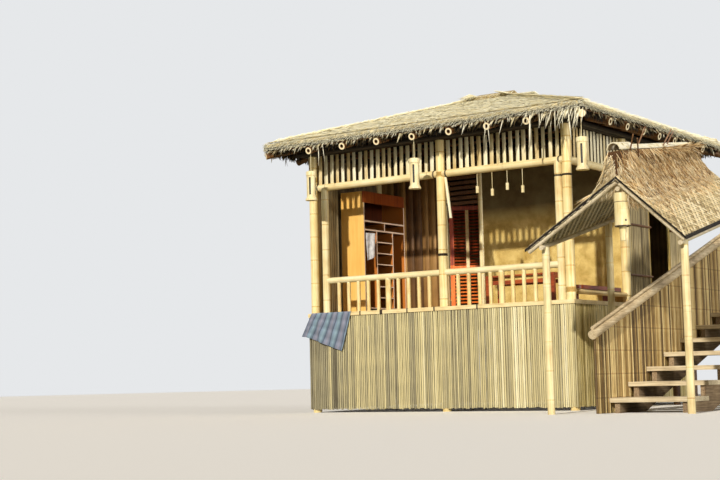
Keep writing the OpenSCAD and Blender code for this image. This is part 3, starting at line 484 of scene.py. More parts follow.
def slat_model(width, bow, length, node_at):
    """A split bamboo slat, bowed across, with a raised ring where it had a partition."""
    rows = 9
    bpy.ops.mesh.primitive_grid_add(x_subdivisions=2, y_subdivisions=rows, size=1)
    made = bpy.context.object
    for v in made.data.vertices:
        across, up = v.co.x, v.co.y + 0.5
        near = min(abs(up - at) for at in node_at)
        rise = bow * (1 - (2 * across) ** 2) + (0.003 if near < 0.5 / rows else 0)
        v.co = Vector((across * width, -rise, up * length))
    finish(made, "SOLIDIFY", thickness=0.005, offset=-1)
    return made


def slat_row(
    start, end, z0, z1, outward, width, bow=0.009, ragged=0.0, tints=(0.2, 0.9, 0.0), cover=0.92,
    gaps=(),
):
    """A row of upright slats from start to end, bowed to the outside. tints are the darkest, the
    palest and what the end is paler than the start, cover the share of its width that a slat
    fills. gaps are the stretches, (from, to, lower end), over a doorway."""
    start, end, outward = Vector(start), Vector(end), Vector(outward)
    run = (end - start).length
    step = (end - start).normalized()
    dark, pale, paler = tints
    places, at, drift = [], 0.0, chance.random()
    while at < run - 0.4 * width:
        wide = min(width * between(0.7, 1.25), run - at)
        drift = min(1, max(0, drift + between(-0.4, 0.4)))
        foot, top = z0 + ragged * chance.random(), z1 - 0.4 * ragged * chance.random()
        for low, high, sill in gaps:
            if low < at + wide / 2 < high:
                foot = sill
        centre = start + step * (at + wide / 2) + UP * foot + outward * between(-0.002, 0.003)
        own = 0.5 * drift + 0.5 * chance.random()
        tall = UP * ((top - foot) / (z1 - z0)) + step * between(-0.003, 0.003)
        tint = dark + (pale - dark) * own + paler * at / run
        places.append((basis(step * (wide * cover / width), -outward, tall, centre), tint))
        at += wide
    count = max(2, round((z1 - z0) / RING_PITCH))
    models = [
        slat_model(width, bow, z1 - z0, [(i + shift) / count for i in range(count + 1)])
        for shift in (0.1, 0.35, 0.6, 0.85)
    ]
    return smooth(copies(models, places), 50)


# Materials. Streaks finer than the camera shows are drawn coarser, 9 to 40 mm wide.

# Cured bamboo culms, golden and waxy, streaked along, with thin dark nodes
fibre_finish(
    "golden_bamboo_culm", "D0A458 F5E09E FFF4C8", 2, (20, 700), 0.42, 0.5,
    rings=(post_top / 11, 0), on="front_posts middle_posts rear_posts",
)
fibre_finish(
    "golden_bamboo_jack", "CCA868 F4E4AE FFF8D0", 2, (20, 600), 0.42, 0.5,
    rings=(JACK_HIGH / 5, floor_z), on="jack_posts door_posts",
)
# Culms gone brown in the shade under the roof
brown_x = fibre_finish(
    "aged_bamboo_across", "2A180C 55371F 7E5A36", 0, (18, 400), on="floor_bearers landing_frame"
)
# Wall plates and eave poles, painted nearly black as the shade under the eave
fibre_finish(
    "shade_darkened_bamboo_across", "0E0804 20140B 3C2818", 0, (18, 400), on="wall_plates eave_poles"
)
brown_y = fibre_finish(
    "aged_bamboo_deep", "3E2412 6F4A2B 9A7145", 1, (18, 400),
    on="floor_joists roof_battens door_transom",
)
# Peeled culms lying out in the sun, pale straw
pale_x = fibre_finish(
    "bleached_bamboo_across", "D8B878 F2E0AA FEF4D0", 0, (18, 500), 0.48, on="valance_beams"
)
fibre_finish("bleached_bamboo_deep", "C79C58 F0D594 FFF0C2", 1, (18, 500), 0.5, on="side_rail")
# Canopy poles and handrail, bleached to a pinkish and a brownish grey
fibre_finish("sun_bleached_poles", "9A8A6C DCCEAE F8EED6", 1, (16, 400), 0.6, on="canopy_poles")
fibre_finish("weathered_handrail", "7E6A4C C4B08C EADDBC", 1, (18, 400), 0.6, on="handrail")
# Long weathered culms, pale with dark nodes
fibre_finish(
    "grey_bleached_culm", "BC9E68 ECDBA6 FEF2C8", 2, (20, 500), rings=(0.381, 0), on="canopy_posts"
)
# Split bamboo, weathered grey, with painted light and shade: copies grey where painted as shaded,
# straw yellow where painted as sunlit, dark along the sides
skirt_slat = fibre_finish(
    "weathered_and_shaded_split_bamboo", "4A4230 9E977A DED29F FFF8D0", 2, (9, 300), 0.7, 0.8,
    tint=0.66, edge=0.017, levels=(0.24, 0.42, 0.58, 0.74),
)
side_slat = fibre_finish(
    "sunny_split_bamboo", "7A6632 E2CF8A FFF4C0", 2, (9, 300), 0.65, 0.8, tint=0.5, edge=0.017
)
wall_slat = fibre_finish(
    "grey_split_bamboo_wall", "4E4228 A3926A D8C89C", 2, (10, 350), 0.7, 0.8, tint=0.5, edge=0.030
)
fibre_finish(
    "split_bamboo_wall_back", "33281A 6E5E40 9A8660", 2, (40, 900), 0.7, on="left_wall rear_wall"
)
# Flat inner faces of split culms, bright and smooth
valance_strip = fibre_finish(
    "split_bamboo_strips", "CCAC6C F6EBC0 FFFAE0", 2, (10, 260), 0.5, 0.5, tint=0.3
)
fibre_finish(
    "split_bamboo_edge", "C0A066 F0DCA6 FEF2C8", 0, (14, 500), 0.5, patches=180, on="floor_edges"
)
fibre_finish("flattened_bamboo", "6A4E2C A27F4C C6A56C", 1, (22, 600), 0.6, 1.2, on="floor_deck")
# Stained boards, almost black in the shade
dark_board = fibre_finish(
    "dark_stained_boards", "382414 7C5830 B08850", 2, (14, 600), relief=0.8, tint=0.4
)
# Red-brown varnished hardwood
fibre_finish("red_varnished_boards", "4E1A0B 97401B C8682C", 0, (14, 400), 0.38, on="slatted_bench")
fibre_finish("red_varnished_seat", "4E1C0C 8E3F1C BC6430", 1, (14, 400), 0.38, on="side_seat")
# Grey sawn timber of the path
fibre_finish(
    "grey_sawn_timber", "8A7A60 CDBD9C F0E6CA", 0, (16, 400), 0.8, 1.4,
    on="path_treads landing_deck",
)
fibre_finish("grey_sawn_strings", "55432F 8C765A B8A484", 1, (16, 400), 0.8, 1.4, on="path_strings")
# Grass thatch: pale straw where it is bleached; its nearly black tones are painted shade, in the
# tufts under the eave
straw = fibre_finish(
    "grass_thatch", "120B06 8E7C56 FBEFC4 FFFCE6", 1, (10, 60), 0.85, 1.0, 700,
    tint=0.74, levels=(0.14, 0.29, 0.48, 0.68),
)
fibre_finish("grass_thatch_ridge", "6B5838 B09C70 E0D0A2", 1, (14, 120), 0.85, 3.0, on="ridge_cap")
# Palm fibre heaped over the canopy, rust brown going to straw at the left
palm_fibre = fibre_finish(
    "palm_fibre", "4A3018 B08650 ECD09A FFF2D0", 1, (10, 60), 0.85, 1.0, 400,
    tint=0.76, levels=(0.16, 0.34, 0.54, 0.74),
)
palm_core = fibre_finish("palm_fibre_core", "2A1A0C 5C3E22 8E683C", 1, (16, 90), 0.9, 4.0)
# Plaited palm leaflets, dull tan on top; on the left panel's underside, split leaflets grey white,
# painted near white as lit though that side lies in shade
tan_leaf = fibre_finish(
    "plaited_palm_leaf", "8E7A52 D2BF92 F2E4C0", 1, (12, 90), 0.7, 0.8, tint=0.35
)
grey_leaf = fibre_finish(
    "split_and_lit_palm_leaf", "D8CBA6 F8EED2 FFFCEE", 1, (12, 90), 0.7, 0.8, tint=0.3
)
# Core of both canopy panels, painted nearly black as the shade seen through the plaited gaps
fibre_finish(
    "shade_black_palm_leaf_core", "0B0805 1B140D 33281B", 1, (16, 90), 0.9, 2.0,
    on="canopy_left_panel canopy_right_panel",
)
# Dark tarred cord, pale bast rope, and the raised rings of the culms
dark_cord = fibre_finish("tarred_cord", "100B07 2A1F15 4B3A28", 2, (6, 20), 0.8, 0.8)
bast_rope = fibre_finish("bast_rope", "8E6E34 CBAA62 EBD194", 2, (6, 20), 0.8, 0.8)
node_ring = fibre_finish("culm_node", "8A5E26 C09A56 E2C68A", 2, (10, 60), 0.5, 0.4, tint=0.3)


def painted_shade_underneath(tree, place, shade, colour):
    """Thatch between its grass blades: bleached on the slopes, and painted nearly black as shade on
    the faces that turn downwards.
    """
    facing = add(tree, "TexCoord", out="Normal")
    facing = add(tree, "SeparateXYZ", {"Vector": facing}, out=2)
    under = add(tree, "MapRange", {"Value": facing, "From Min": 0.15, "From Max": -0.35})
    return stain(tree, colour, "1A120A", under)


straw_body = fibre_finish(
    "grass_thatch_core", "A8966C DCCDA0 F4E8C0", 1, (20, 120), 0.9, 6.0, marks=painted_shade_underneath
)


def balusters(tree, place, shade, colour):
    """Peeled bamboo railing: golden balusters that stand under a bleached rail."""
    _, _, upright = fibre(tree, 2, (16, 260), 260)
    standing = add(tree, "ValToRGB", {"Fac": upright}, shades("C89C58 F0D998 FFF2C6"))
    rail_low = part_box("left_railing")[1].z - 0.104
    return stain(tree, colour, standing, inside_plane(tree, place, (0, 0, 1), rail_low))


fibre_finish(
    "peeled_bamboo_railing", "DCC084 F5E6B4 FFF8DA", 0, (16, 500), 0.48, 0.5, 260,
    strength=0.5, marks=balusters, on="left_railing right_railing",
)


def cut_plane(x, y, back):
    """The plane where culms that run out along (x, y) are cut, back from the roof's edge: its
    normal, and how far it lies along it from the roof's middle, with 5 mm of fresh wood."""
    on_plate = (PLATE_R + RAFTER_R + SEAT_GAP) / math.cos(PITCH)
    z = post_top + PLATE_R + on_plate + (back - OVERHANG) * RISE
    end = Vector((x * (roof_wide / 2 - back), y * (roof_deep / 2 - back), z))
    ahead = Vector((-x, -y, RISE)).normalized()
    return tuple(ahead), ahead.dot(end) + 0.005


# Rafters and hips: orange-brown bark, its darker tones painted as the shade under the eave, and pale
# fresh wood where their lower ends are cut. The four hips are marked as one, with their places folded
# outwards from the roof's middle.
deep_cuts = [cut_plane(0, y, 0.050) for y in (1, -1)]
side_cuts = [cut_plane(x, 0, 0.050) for x in (1, -1)]
for name, along, planes, nodes in (
    ("rafter_culm", 1, deep_cuts, "front_rafters rear_rafters"),
    ("rafter_culm_side", 0, side_cuts, "left_rafters right_rafters"),
    ("hip_culm", 1, [cut_plane(1, 1, 0.070)], "hip_rafters"),
):

    def fresh_cuts(tree, place, shade, colour):
        where = {0: place, 1: tuple(roof_mid)}
        where = add(tree, "VectorMath", where, operation="SUBTRACT")
        if name == "hip_culm":
            where = add(tree, "VectorMath", {0: where}, operation="ABSOLUTE")
        for normal, offset in planes:
            colour = stain(tree, colour, "FFF0C8", inside_plane(tree, where, normal, offset))
        return colour

    fibre_finish(
        name, "3A2212 70481F A07440", along, (18, 500), 0.5,
        strength=0.5, marks=fresh_cuts, on=nodes,
    )


def shelf_faces(tree, place, shade, colour):
    """Varnished shelf boards: painted dark as shade on every face that does not face the front,
    orange-yellow where they face the front, as lit, redder dividers, pinkish white front edges and a
    red-brown fascia."""
    lo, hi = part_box("shelf_unit")
    levels = (0.3, 0.5, 0.7)
    facing = add(tree, "TexCoord", out="Normal")
    # Faces toward the front are painted orange-yellow, as lit
    to_front = inside_plane(tree, facing, (0, 1, 0), -0.5)
    side = add(tree, "ValToRGB", {"Fac": shade}, shades("EAB058 F8C86E FDD88C", levels))
    colour = stain(tree, colour, side, to_front)
    # The dividers' faces toward the front are painted a darker, redder orange, as shaded inside the
    # shelf
    divider = inside_plane(tree, place, (0, -1, 0), -(lo.y + 0.005))
    colour = stain(tree, colour, "C87A34", divider, to_front)
    edge = inside_plane(tree, facing, (-1, 0, 0), -0.5)
    outer = inside_plane(tree, place, (-1, 0, 0), -(hi.x - 0.003))
    colour = stain(tree, colour, "F6DCC4", edge, outer)
    fascia = inside_plane(tree, place, (0, 0, -1), -(hi.z - 0.190))
    outer = inside_plane(tree, place, (-1, 0, 0), -(hi.x - 0.027))
    red = add(tree, "ValToRGB", {"Fac": shade}, shades("5A210C 8E4218 B4662C", levels))
    return stain(tree, colour, red, fascia, outer)


# The boards' dark base colour is painted shade
fibre_finish(
    "varnished_shelf_boards", "2A0F06 4E200C 6E3212", 2, (26, 900), 0.35, 0.3, 500,
    levels=(0.3, 0.5, 0.7), strength=0.4, marks=shelf_faces, on="shelf_unit",
)


def painted_light_below(tree, place, shade, colour):
    """Varnished louvred door, orange red; its lower half is painted brighter, as the light that falls
    on it below the beam's shadow.
    """
    lower = add(tree, "ValToRGB", {"Fac": shade}, shades("C0501A F07A2C FFA658"))
    return stain(tree, colour, lower, inside_plane(tree, place, (0, 0, 1), floor_z + 0.80))


fibre_finish(
    "orange_red_door_varnish", "5C1808 A03A14 CE6828", 2, (16, 500), 0.35, 0.3,
    strength=0.4, marks=painted_light_below, on="door_leaf",
)


def mat_finish():
    """Mat of 18 mm split bamboo plaited over and under, ochre in cloudy patches, with painted shade
    over its top, where the eave and beam shade it.
    """
    made, tree, surface = begin("plaited_bamboo_mat", 0.6)
    strip = 0.018
    place = add(tree, "TexCoord", out="Object")
    cells = add(tree, "TexChecker", {"Vector": place, "Scale": 1 / strip}, out=1)
    wave = {"Vector": place, "Scale": WAVE / strip}
    upright, level = (add(tree, "TexWave", wave, out=1, bands_direction=way) for way in "XZ")
    weave = add(tree, "Mix", {"Factor": cells, "A": upright, "B": level})
    links = {"Vector": place, "Scale": 3.6, "Detail": 5.0, "Roughness": 0.65}
    blotch = add(tree, "TexNoise", links)
    shade = add(tree, "Mix", {"Factor": 0.72, "A": weave, "B": blotch})
    stops = shades("8A671F D6B45A FBE69C", (0.26, 0.48, 0.68))
    colour = add(tree, "ValToRGB", {"Fac": shade}, stops)
    height = add(tree, "SeparateXYZ", {"Vector": place}, out=2)
    # Painted shade over the top of the mat
    band = {"From Min": floor_z + 1.42, "From Max": floor_z + 1.70, "To Max": 0.80}
    painted_shade_above = add(tree, "MapRange", {"Value": height, **band})
    coat(tree, surface, stain(tree, colour, "22150A", painted_shade_above), weave, 4.0, 0.7)
    return made


dress(mat_finish(), "mat_wall", "right_wall")


def dark_lines_and_painted_hole(tree, place, shade, colour):
    """Pale yellow culm of the bell: a painted shadow line round its mouth, a dark line under its top,
    and a small hole painted dark as the shade in it.
    """
    lo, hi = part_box("bamboo_bell")
    mouth = lo.z + 0.180
    for low, high in ((mouth, mouth + 0.014), (hi.z - 0.160, hi.z - 0.152)):
        over = inside_plane(tree, place, (0, 0, -1), -low)
        colour = stain(tree, colour, "3A2A18", over, inside_plane(tree, place, (0, 0, 1), high))
    hole = (lo.x + hi.x) / 2 + 0.075, (lo.y + hi.y) / 2 - 0.066, mouth + 0.075
    return stain(tree, colour, "15100A", inside_round(tree, place, hole, 0.014))


fibre_finish(
    "bell_bamboo", "D0B876 EDDDA6 FAF2CF", 2, (18, 300), 0.45, 0.5, 120,
    strength=0.5, marks=dark_lines_and_painted_hole, on="bamboo_bell",
)


def weather_stains(tree, place, shade, colour):
    """Culm halves on the canopy, bleached nearly white with brown weather stains."""
    links = {"Vector": place, "Scale": 16.0, "Detail": 5.0, "Roughness": 0.7}
    blots = add(tree, "TexNoise", links)
    blots = add(tree, "MapRange", {"Value": blots, "From Min": 0.58, "From Max": 0.74})
    return stain(tree, colour, "8A6A38", blots)


fibre_finish(
    "mottled_bleached_culm", "B8A470 EEE4C0 FFFBEC", 1, (16, 200), relief=0.8, patches=90,
    levels=(0.3, 0.46, 0.62), strength=0.5, marks=weather_stains, on="canopy_cap",
)


def lantern_feet():
    """The foot of each lantern's axis, read from the solids, which hang well apart along X."""
    points = [v.co.copy() for v in frame["nodes"]["lanterns"].data.vertices]
    points.sort(key=lambda p: p.x)
    groups = [[points[0]]]
    for point in points[1:]:
        if point.x - groups[-1][-1].x > 0.3:
            groups.append([])
        groups[-1].append(point)
    for group in groups:
        low = min(p.z for p in group)
        rim = [p for p in group if p.z < low + 0.001]
        xs, ys = [p.x for p in rim], [p.y for p in rim]
        yield (min(xs) + max(xs)) / 2, (min(ys) + max(ys)) / 2, low


def painted_shade_inside(tree, place, shade, colour):
    """Pale peeled bamboo of the lanterns, painted nearly black inside their tall slots as shade."""
    level = add(tree, "VectorMath", {0: place, 1: (1, 1, 0)}, operation="MULTIPLY")
    for x, y, foot in lantern_feet():
        inside = inside_round(tree, level, (x, y, 0), 0.069)
        over = inside_plane(tree, place, (0, 0, -1), -(foot + 0.085))
        under = inside_plane(tree, place, (0, 0, 1), foot + 0.375)
        colour = stain(tree, colour, "140D07", inside, over, under)
    return colour


fibre_finish(
    "lantern_bamboo", "CCB070 EFE0AE FFF7D8", 2, (16, 260), 0.45, 0.5, 150,
    strength=0.5, marks=painted_shade_inside, on="lanterns wind_chimes",
)


# Growth rings and lashings of the culms

places = [(x, y) for x in (left_x, middle_x, right_x) for y in (front_y, rear_y)]
places += [(left_x, inner_y), (right_x, inner_y)]
culms = [(x, y, 0, post_top, POST_R) for x, y in places]
culms += [(x, front_y, floor_z, floor_z + JACK_HIGH, JACK_R) for x in JACK_X]
rings = []
for x, y, foot, top, radius in culms:
    rings += ring_places((x, y, foot), (x, y, top), radius)
keep(smooth(copies(ring_model(0.045), rings), 60), "post_rings", node_ring, "culm_golden")

# Each lashing: its middle, the way of its culm, the culm's radius and the number of turns
beam_ends = left_x + 0.11, middle_x - 0.11, middle_x + 0.11, right_x - 0.11
dark_ties = [
    ((right_x, front_y, floor_z + 1.83), UP, POST_R, 3),
    ((JACK_X[1], front_y, floor_z + 1.83), UP, JACK_R, 3),
    ((middle_x, front_y, floor_z + 0.80), UP, POST_R, 4),
]
dark_ties += [((x, front_y, beam_z), X, BEAM_R, 3) for x in beam_ends]
pale_ties = [
    ((left_x, front_y, floor_z + 2.20), UP, POST_R, 8),
    ((right_x, front_y, floor_z + 0.15), UP, POST_R, 7),
    ((middle_x, front_y, beam_z), UP, POST_R, 6),
    ((right_x, front_y + 0.13, floor_z + 0.13), Y, SIDE_RAIL_R, 6),
]
dark_turns, pale_turns = (
    [turn for tie in ties for turn in lashing(*tie)] for ties in (dark_ties, pale_ties)
)
for name, turns, material, slot in (
    ("dark_lashings", dark_turns, dark_cord, "culm_brown"),
    ("rope_lashings", pale_turns, bast_rope, "culm_pale"),
):
    keep(smooth(copies(ring_model(0.09), turns), 60), name, material, slot)


# Skirts round the space under the floor


def inner_line(node, out):
    """The inner line of a plate, with the outside of the house on its right."""
    lo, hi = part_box(node)
    along = UP.cross(out)
    start = Vector([lo[i] if (along + out)[i] > 0 else hi[i] for i in (0, 1)] + [0])
    return start, start + along * abs(along.dot(hi - lo))


# Each skirt's slats and tints; the front skirt is greyer at its left from weather and painted shade,
# and the right skirt is painted bright as sunlit
for name, out, material, tints in (
    ("front_skirt", -Y, skirt_slat, (0.04, 0.56, 0.44)),
    ("rear_skirt", Y, skirt_slat, (0.2, 0.85, 0.0)),
    ("left_skirt", -X, skirt_slat, (0.1, 0.7, 0.0)),
    ("right_skirt", X, side_slat, (0.25, 0.95, 0.0)),
):
    start, end = inner_line(name, out)
    foot, top = (corner.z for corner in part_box(name))
    row = slat_row(start, end, foot, top, out, 0.034, ragged=0.02, tints=tints, cover=0.90)
    keep(row, name + "_slats", material, "split_bamboo", name)


# Valance strips over the openings

STRIP_W, STRIP_T = 0.066, 0.009
for name, start, end, count in (
    ("left_valance", (left_x + POST_R, front_y, 0), (middle_x - POST_R, front_y, 0), 20),
    ("right_valance", (middle_x + POST_R, front_y, 0), (right_x - POST_R, front_y, 0), 18),
    ("side_valance", (right_x, front_y + POST_R, 0), (right_x, inner_y - POST_R, 0), 15),
):
    lo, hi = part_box(name)
    span = Vector(end) - Vector(start)
    step = span.normalized()
    gap = (span.length - count * STRIP_W) / (count + 1)
    places = []
    for i in range(count):
        lean = step * between(-0.018, 0.018)
        along = gap + STRIP_W / 2 + i * (STRIP_W + gap) + between(-0.005, 0.005)
        tall = UP * (1 - between(0.0, 0.03)) + lean
        thick = UP.cross(step) * between(0.8, 1.0)
        wide = step * between(0.84, 1.08)
        at = Vector(start) + step * along + UP * lo.z
        places.append((basis(wide, thick, tall, at), chance.random()))
    strips = copies(strip_model(STRIP_W, STRIP_T, hi.z - lo.z), places)
    keep(strips, name + "_strips", valance_strip, "culm_pale", name)

# Battens behind the strips' tops, one in each bay
y, z = front_y + 0.02, post_top - 0.10
bays = (left_x, middle_x, 0.4), (middle_x, right_x, 0.6)
ledgers = [(pole_place((a + 0.08, y, z), (b - 0.08, y, z), 0.030), tint) for a, b, tint in bays]
keep(poles(ledgers), "valance_ledgers", brown_x, "culm_brown")


# Walls: upright boards inside, and split slats outside the room's own walls

BOARD_W, BOARD_GAP = 0.15, 0.004
lo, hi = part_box("board_wall")
places, x = [], lo.x
while x < hi.x - 0.01:
    wide = min(BOARD_W * between(0.8, 1.2), hi.x - x)
    at = x + wide / 2, (lo.y + hi.y) / 2 + between(-0.004, 0.004), lo.z
    places.append((basis(X * ((wide - BOARD_GAP) / BOARD_W), Y, UP, at), chance.random()))
    x += wide
boards = copies(strip_model(BOARD_W, 0.022, hi.z - lo.z), places)
keep(boards, "dark_boards", dark_board, "dark_boards", "board_wall")

wall_lo, wall_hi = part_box("left_wall")
rear_lo, rear_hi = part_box("rear_wall")
right_lo, right_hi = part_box("right_wall")
slats_low, slats_top = floor_z + 0.004, post_top - 0.004
# Doorway in the right wall, and the slats' clear distances from posts and corners
door_y0, door_y1, door_top = 1.528, 2.288, floor_z + 1.810
BY_POST, BY_CORNER = 0.075, 0.005
battens = []
for name, start, end, out in (
    ("left_wall", (wall_lo.x, inner_y - BY_POST), (wall_lo.x, wall_lo.y + BY_CORNER), -X),
    ("left_room", (wall_lo.x, wall_hi.y - BY_CORNER), (wall_lo.x, inner_y + BY_POST), -X),
    ("rear_wall", (middle_x - BY_POST, rear_hi.y), (rear_lo.x + BY_CORNER, rear_hi.y), Y),
    ("rear_room", (rear_hi.x - BY_CORNER, rear_hi.y), (middle_x + BY_POST, rear_hi.y), Y),
    ("right_wall", (right_hi.x, right_lo.y + BY_CORNER), (right_hi.x, right_hi.y - BY_CORNER), X),
):
    start, end = Vector((*start, 0)), Vector((*end, 0))
    gaps = []
    if name == "right_wall":
        gaps = [(door_y0 - right_lo.y - 0.03, door_y1 - right_lo.y + 0.03, door_top)]
    row = slat_row(start, end, slats_low, slats_top, out, 0.060, 0.012, gaps=gaps)
    keep(row, name + "_slats", wall_slat, "woven_mat")
    for height in (0.45, 1.25, 2.10):
        lift = out * 0.026 + UP * (floor_z + height)
        ends = [start + lift, end + lift]
        x, _, z = ends[0]
        if gaps and z < door_top:
            ends[1:1] = [Vector((x, y, z)) for y in (door_y0 - 0.02, door_y1 + 0.02)]
        for a, b in zip(ends[::2], ends[1::2]):
            battens.append((pole_place(a, b, 0.036), chance.random()))
keep(poles(battens, 8), "wall_battens", brown_y, "culm_brown")

# The veranda face of the left wall: grey slats between the corner post and the shelf
start, end = ((wall_hi.x, y, 0) for y in (wall_lo.y + BY_CORNER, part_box("shelf_unit")[0].y - 0.010))
row = slat_row(start, end, slats_low, slats_top, X, 0.055, 0.010, tints=(0.1, 0.7, 0.0))
keep(row, "left_wall_inner_slats", wall_slat, "woven_mat")

# Ties round the floor's edge and its joints: where they are along it, and how wide
ties = (-2.376, 0.022), (-1.971, 0.050), (-1.480, 0.020), (-0.983, 0.022), (-0.218, 0.022)
places = [
    (basis(X * wide, Y * 0.027, UP * 0.068, (x, edge_lo.y + 0.0105, edge_lo.z - 0.004)), 0.5)
    for x, wide in ties
]
keep(copies(strip_model(1, 1, 1), places), "floor_edge_ties", dark_cord, "culm_brown")

# Thin split bamboo tied by the middle post
foot = middle_x + 0.164, front_y, floor_z + 1.358
top = middle_x + 0.085, front_y, floor_z + 1.998
keep(poles([(pole_place(foot, top, 0.045), 0.8)]), "post_sticks", valance_strip, "culm_pale")

# Door: the pale strip on its meeting stile, made on the leaf as it closes, from its hinge
hinge = frame["joints"][0]
leaf_turn = Matrix.Rotation(math.radians(-hinge["range_deg"][0]), 4, "Z")
leaf_turn = Matrix.Translation(hinge["pos_m"]) @ leaf_turn
cover = strip_model(0.054, 0.010, 1.640)
cover.data.transform(leaf_turn @ Matrix.Translation((0.302, -0.0375, 0.090)))
keep(cover, "door_cover_strip", pale_x, "culm_pale", body="door")


# Shelf: a white cloth hung in its tall front compartment


def hung_cloth():
    """A small cloth hung from the shelf board over the compartment, in soft upright folds."""
    lo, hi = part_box("shelf_unit")
    x, y, top, wide, long = hi.x + 0.012, lo.y + 0.030, floor_z + 1.340, 0.200, 0.46
    bpy.ops.mesh.primitive_grid_add(x_subdivisions=30, y_subdivisions=36, size=1)
    made = bpy.context.object
    for v in made.data.vertices:
        across, down = v.co.x + 0.5, 0.5 - v.co.y
        fold = 0.013 * math.sin(across * 9 + 1.5 * down) * (0.35 + 0.65 * down) + 0.05 * across
        sag = 0.015 * math.sin(across * math.pi) * down
        narrowed = wide * (1 - 0.16 * down * (1 - across) - 0.10 * down)
        hung = top - down * (long - 0.08 * across) - sag
        v.co = Vector((x + fold, y + across * narrowed + 0.02 * down, hung))
    finish(made, "SOLIDIFY", thickness=0.0012, offset=0)
    return smooth(made, 80)


def cotton_finish():
    """Plain woven cotton, matt, with soft creases; its threads are drawn 3 mm apart."""
    made, tree, surface = begin("white_cotton", 0.9)
    place = add(tree, "TexCoord", out="Object")
    creases = add(tree, "TexNoise", {"Vector": place, "Scale": 14.0, "Detail": 3.0})
    stops = shades("B9BCC2 DADCE0 F0F1F2", (0.3, 0.5, 0.7))
    colour = add(tree, "ValToRGB", {"Fac": creases}, stops)
    links = {"Vector": place, "Scale": WAVE / 0.003}
    threads = add(tree, "TexWave", links, out=1, bands_direction="Z")
    coat(tree, surface, colour, threads, 0.5, 0.4)
    surface["Sheen Weight"].default_value = 0.3
    return made


cloth = keep(hung_cloth(), "shelf_cloth", cotton_finish(), "striped_cloth")


# Roof thatch

# Each slope: its name, a corner, the ways along its eave and inwards, and the room that the
# grass has outside the eave
slopes = (
    ("front", Vector((roof_x0, roof_y0, 0)), X, Y, 0.060),
    ("rear", Vector((roof_x1, roof_y1, 0)), -X, -Y, -0.006),
    ("left", Vector((roof_x0, roof_y1, 0)), -Y, X, -0.006),
    ("right", Vector((roof_x1, roof_y0, 0)), Y, -X, 0.060),
)
# The first rafter of a slope, from its corner, the number of rafters, and what an end covers
FIRST_RAFTER, RAFTERS, RAFTER_END = 0.96, 7, 0.085
# The lowest course of grass, inwards from the edge, and the spacing of the courses
FIRST_COURSE, COURSE = 0.075, 0.15
# Blades to a metre of eave in its brush of cut ends and in the layer under it, painted dark as shade
BRUSH, UNDERLAYER = 500, 130


def top_of_thatch(s):
    """Height of the thatch s level inwards from its edge, over its round nose."""
    near = min(max(s, 0) / NOSE, 1)
    return eave_z + THATCH + s * RISE - NOSE * (1 - math.sqrt(1 - (1 - near) ** 2))


def thatch_body():
    """The hipped shell of thatch, held in from its edge so that the grass reaches the edge."""
    wide, deep = roof_wide - 2 * EDGE_IN, roof_deep - 2 * EDGE_IN
    run = min(wide, deep) / 2 - 0.01
    middle = roof_mid + UP * (eave_z + EDGE_IN * RISE + 0.004)
    bpy.ops.mesh.primitive_plane_add(size=1)
    made = bpy.context.object
    made.data.transform(Matrix.Translation(middle) @ Matrix.Diagonal((wide, deep, 1, 1)))

    def raise_ridge():
        bpy.ops.mesh.inset(thickness=run)
        bpy.ops.transform.translate(value=(0, 0, run * RISE))
        bpy.ops.mesh.select_all(action="SELECT")
        bpy.ops.mesh.remove_doubles(threshold=0.03)
        bpy.ops.mesh.normals_make_consistent(inside=False)

    edit(made, raise_ridge)
    if made.data.polygons[0].normal.z < 0:
        made.data.flip_normals()
    finish(made, "SOLIDIFY", thickness=0.106, offset=1)
    finish(made, "BEVEL", width=0.045, segments=3)
    return made


stands_for = [name + "_thatch" for name in ("front", "rear", "left", "right")]
keep(thatch_body(), "thatch_shell", straw_body, "thatch_straw", *stands_for)


def spot(slope, u, s, z):
    """A point of a slope, u along its eave, s level inwards and z high."""
    _, corner, eave, inward, _ = slope
    return corner + eave * u + inward * s + UP * z


def thatch_courses(slope, length):
    """Courses of grass from the eave to the ridge, each lapping over the one below."""
    _, _, eave, inward, _ = slope
    normal = UP * math.cos(PITCH) - inward * math.sin(PITCH)
    down = -inward * math.cos(PITCH) - UP * math.sin(PITCH)
    places = []
    s = FIRST_COURSE
    while s < roof_run - 0.05:
        shade = between(-0.05, 0.05)
        u = s * 0.9
        while u < length - s * 0.9:
            root_s = s + between(0.24, 0.33)
            inset = max(0.0, root_s - 0.06)
            if inset < u < length - inset or root_s > roof_run:
                root_s = min(root_s, roof_run - 0.01)
                root = spot(slope, u, root_s, top_of_thatch(root_s) - 0.010 + between(0, 0.006))
                run = (root_s - s + between(-0.05, 0.035)) / math.cos(PITCH)
                heading = down + eave * between(-0.10, 0.10) + normal * between(0.03, 0.055)
                tint = 0.84 + shade + between(-0.34, 0.20)
                places.append((lay(root, heading, normal, between(0.016, 0.030), run), tint))
            u += between(0.009, 0.020)
        s += COURSE
    # Grass that lies on both sides of each hip
    for end in (0, 1):
        q = 0.12
        while q < roof_run - 0.06:
            u = q + between(-0.03, 0.06)
            root_s = q + 0.14
            root = spot(slope, length - u if end else u, root_s, top_of_thatch(root_s) + 0.004)
            heading = down + eave * between(-0.15, 0.15) + normal * 0.03
            place = lay(root, heading, normal, 0.024, between(0.2, 0.32))
            places.append((place, between(0.4, 0.8)))
            q += 0.012
    return places


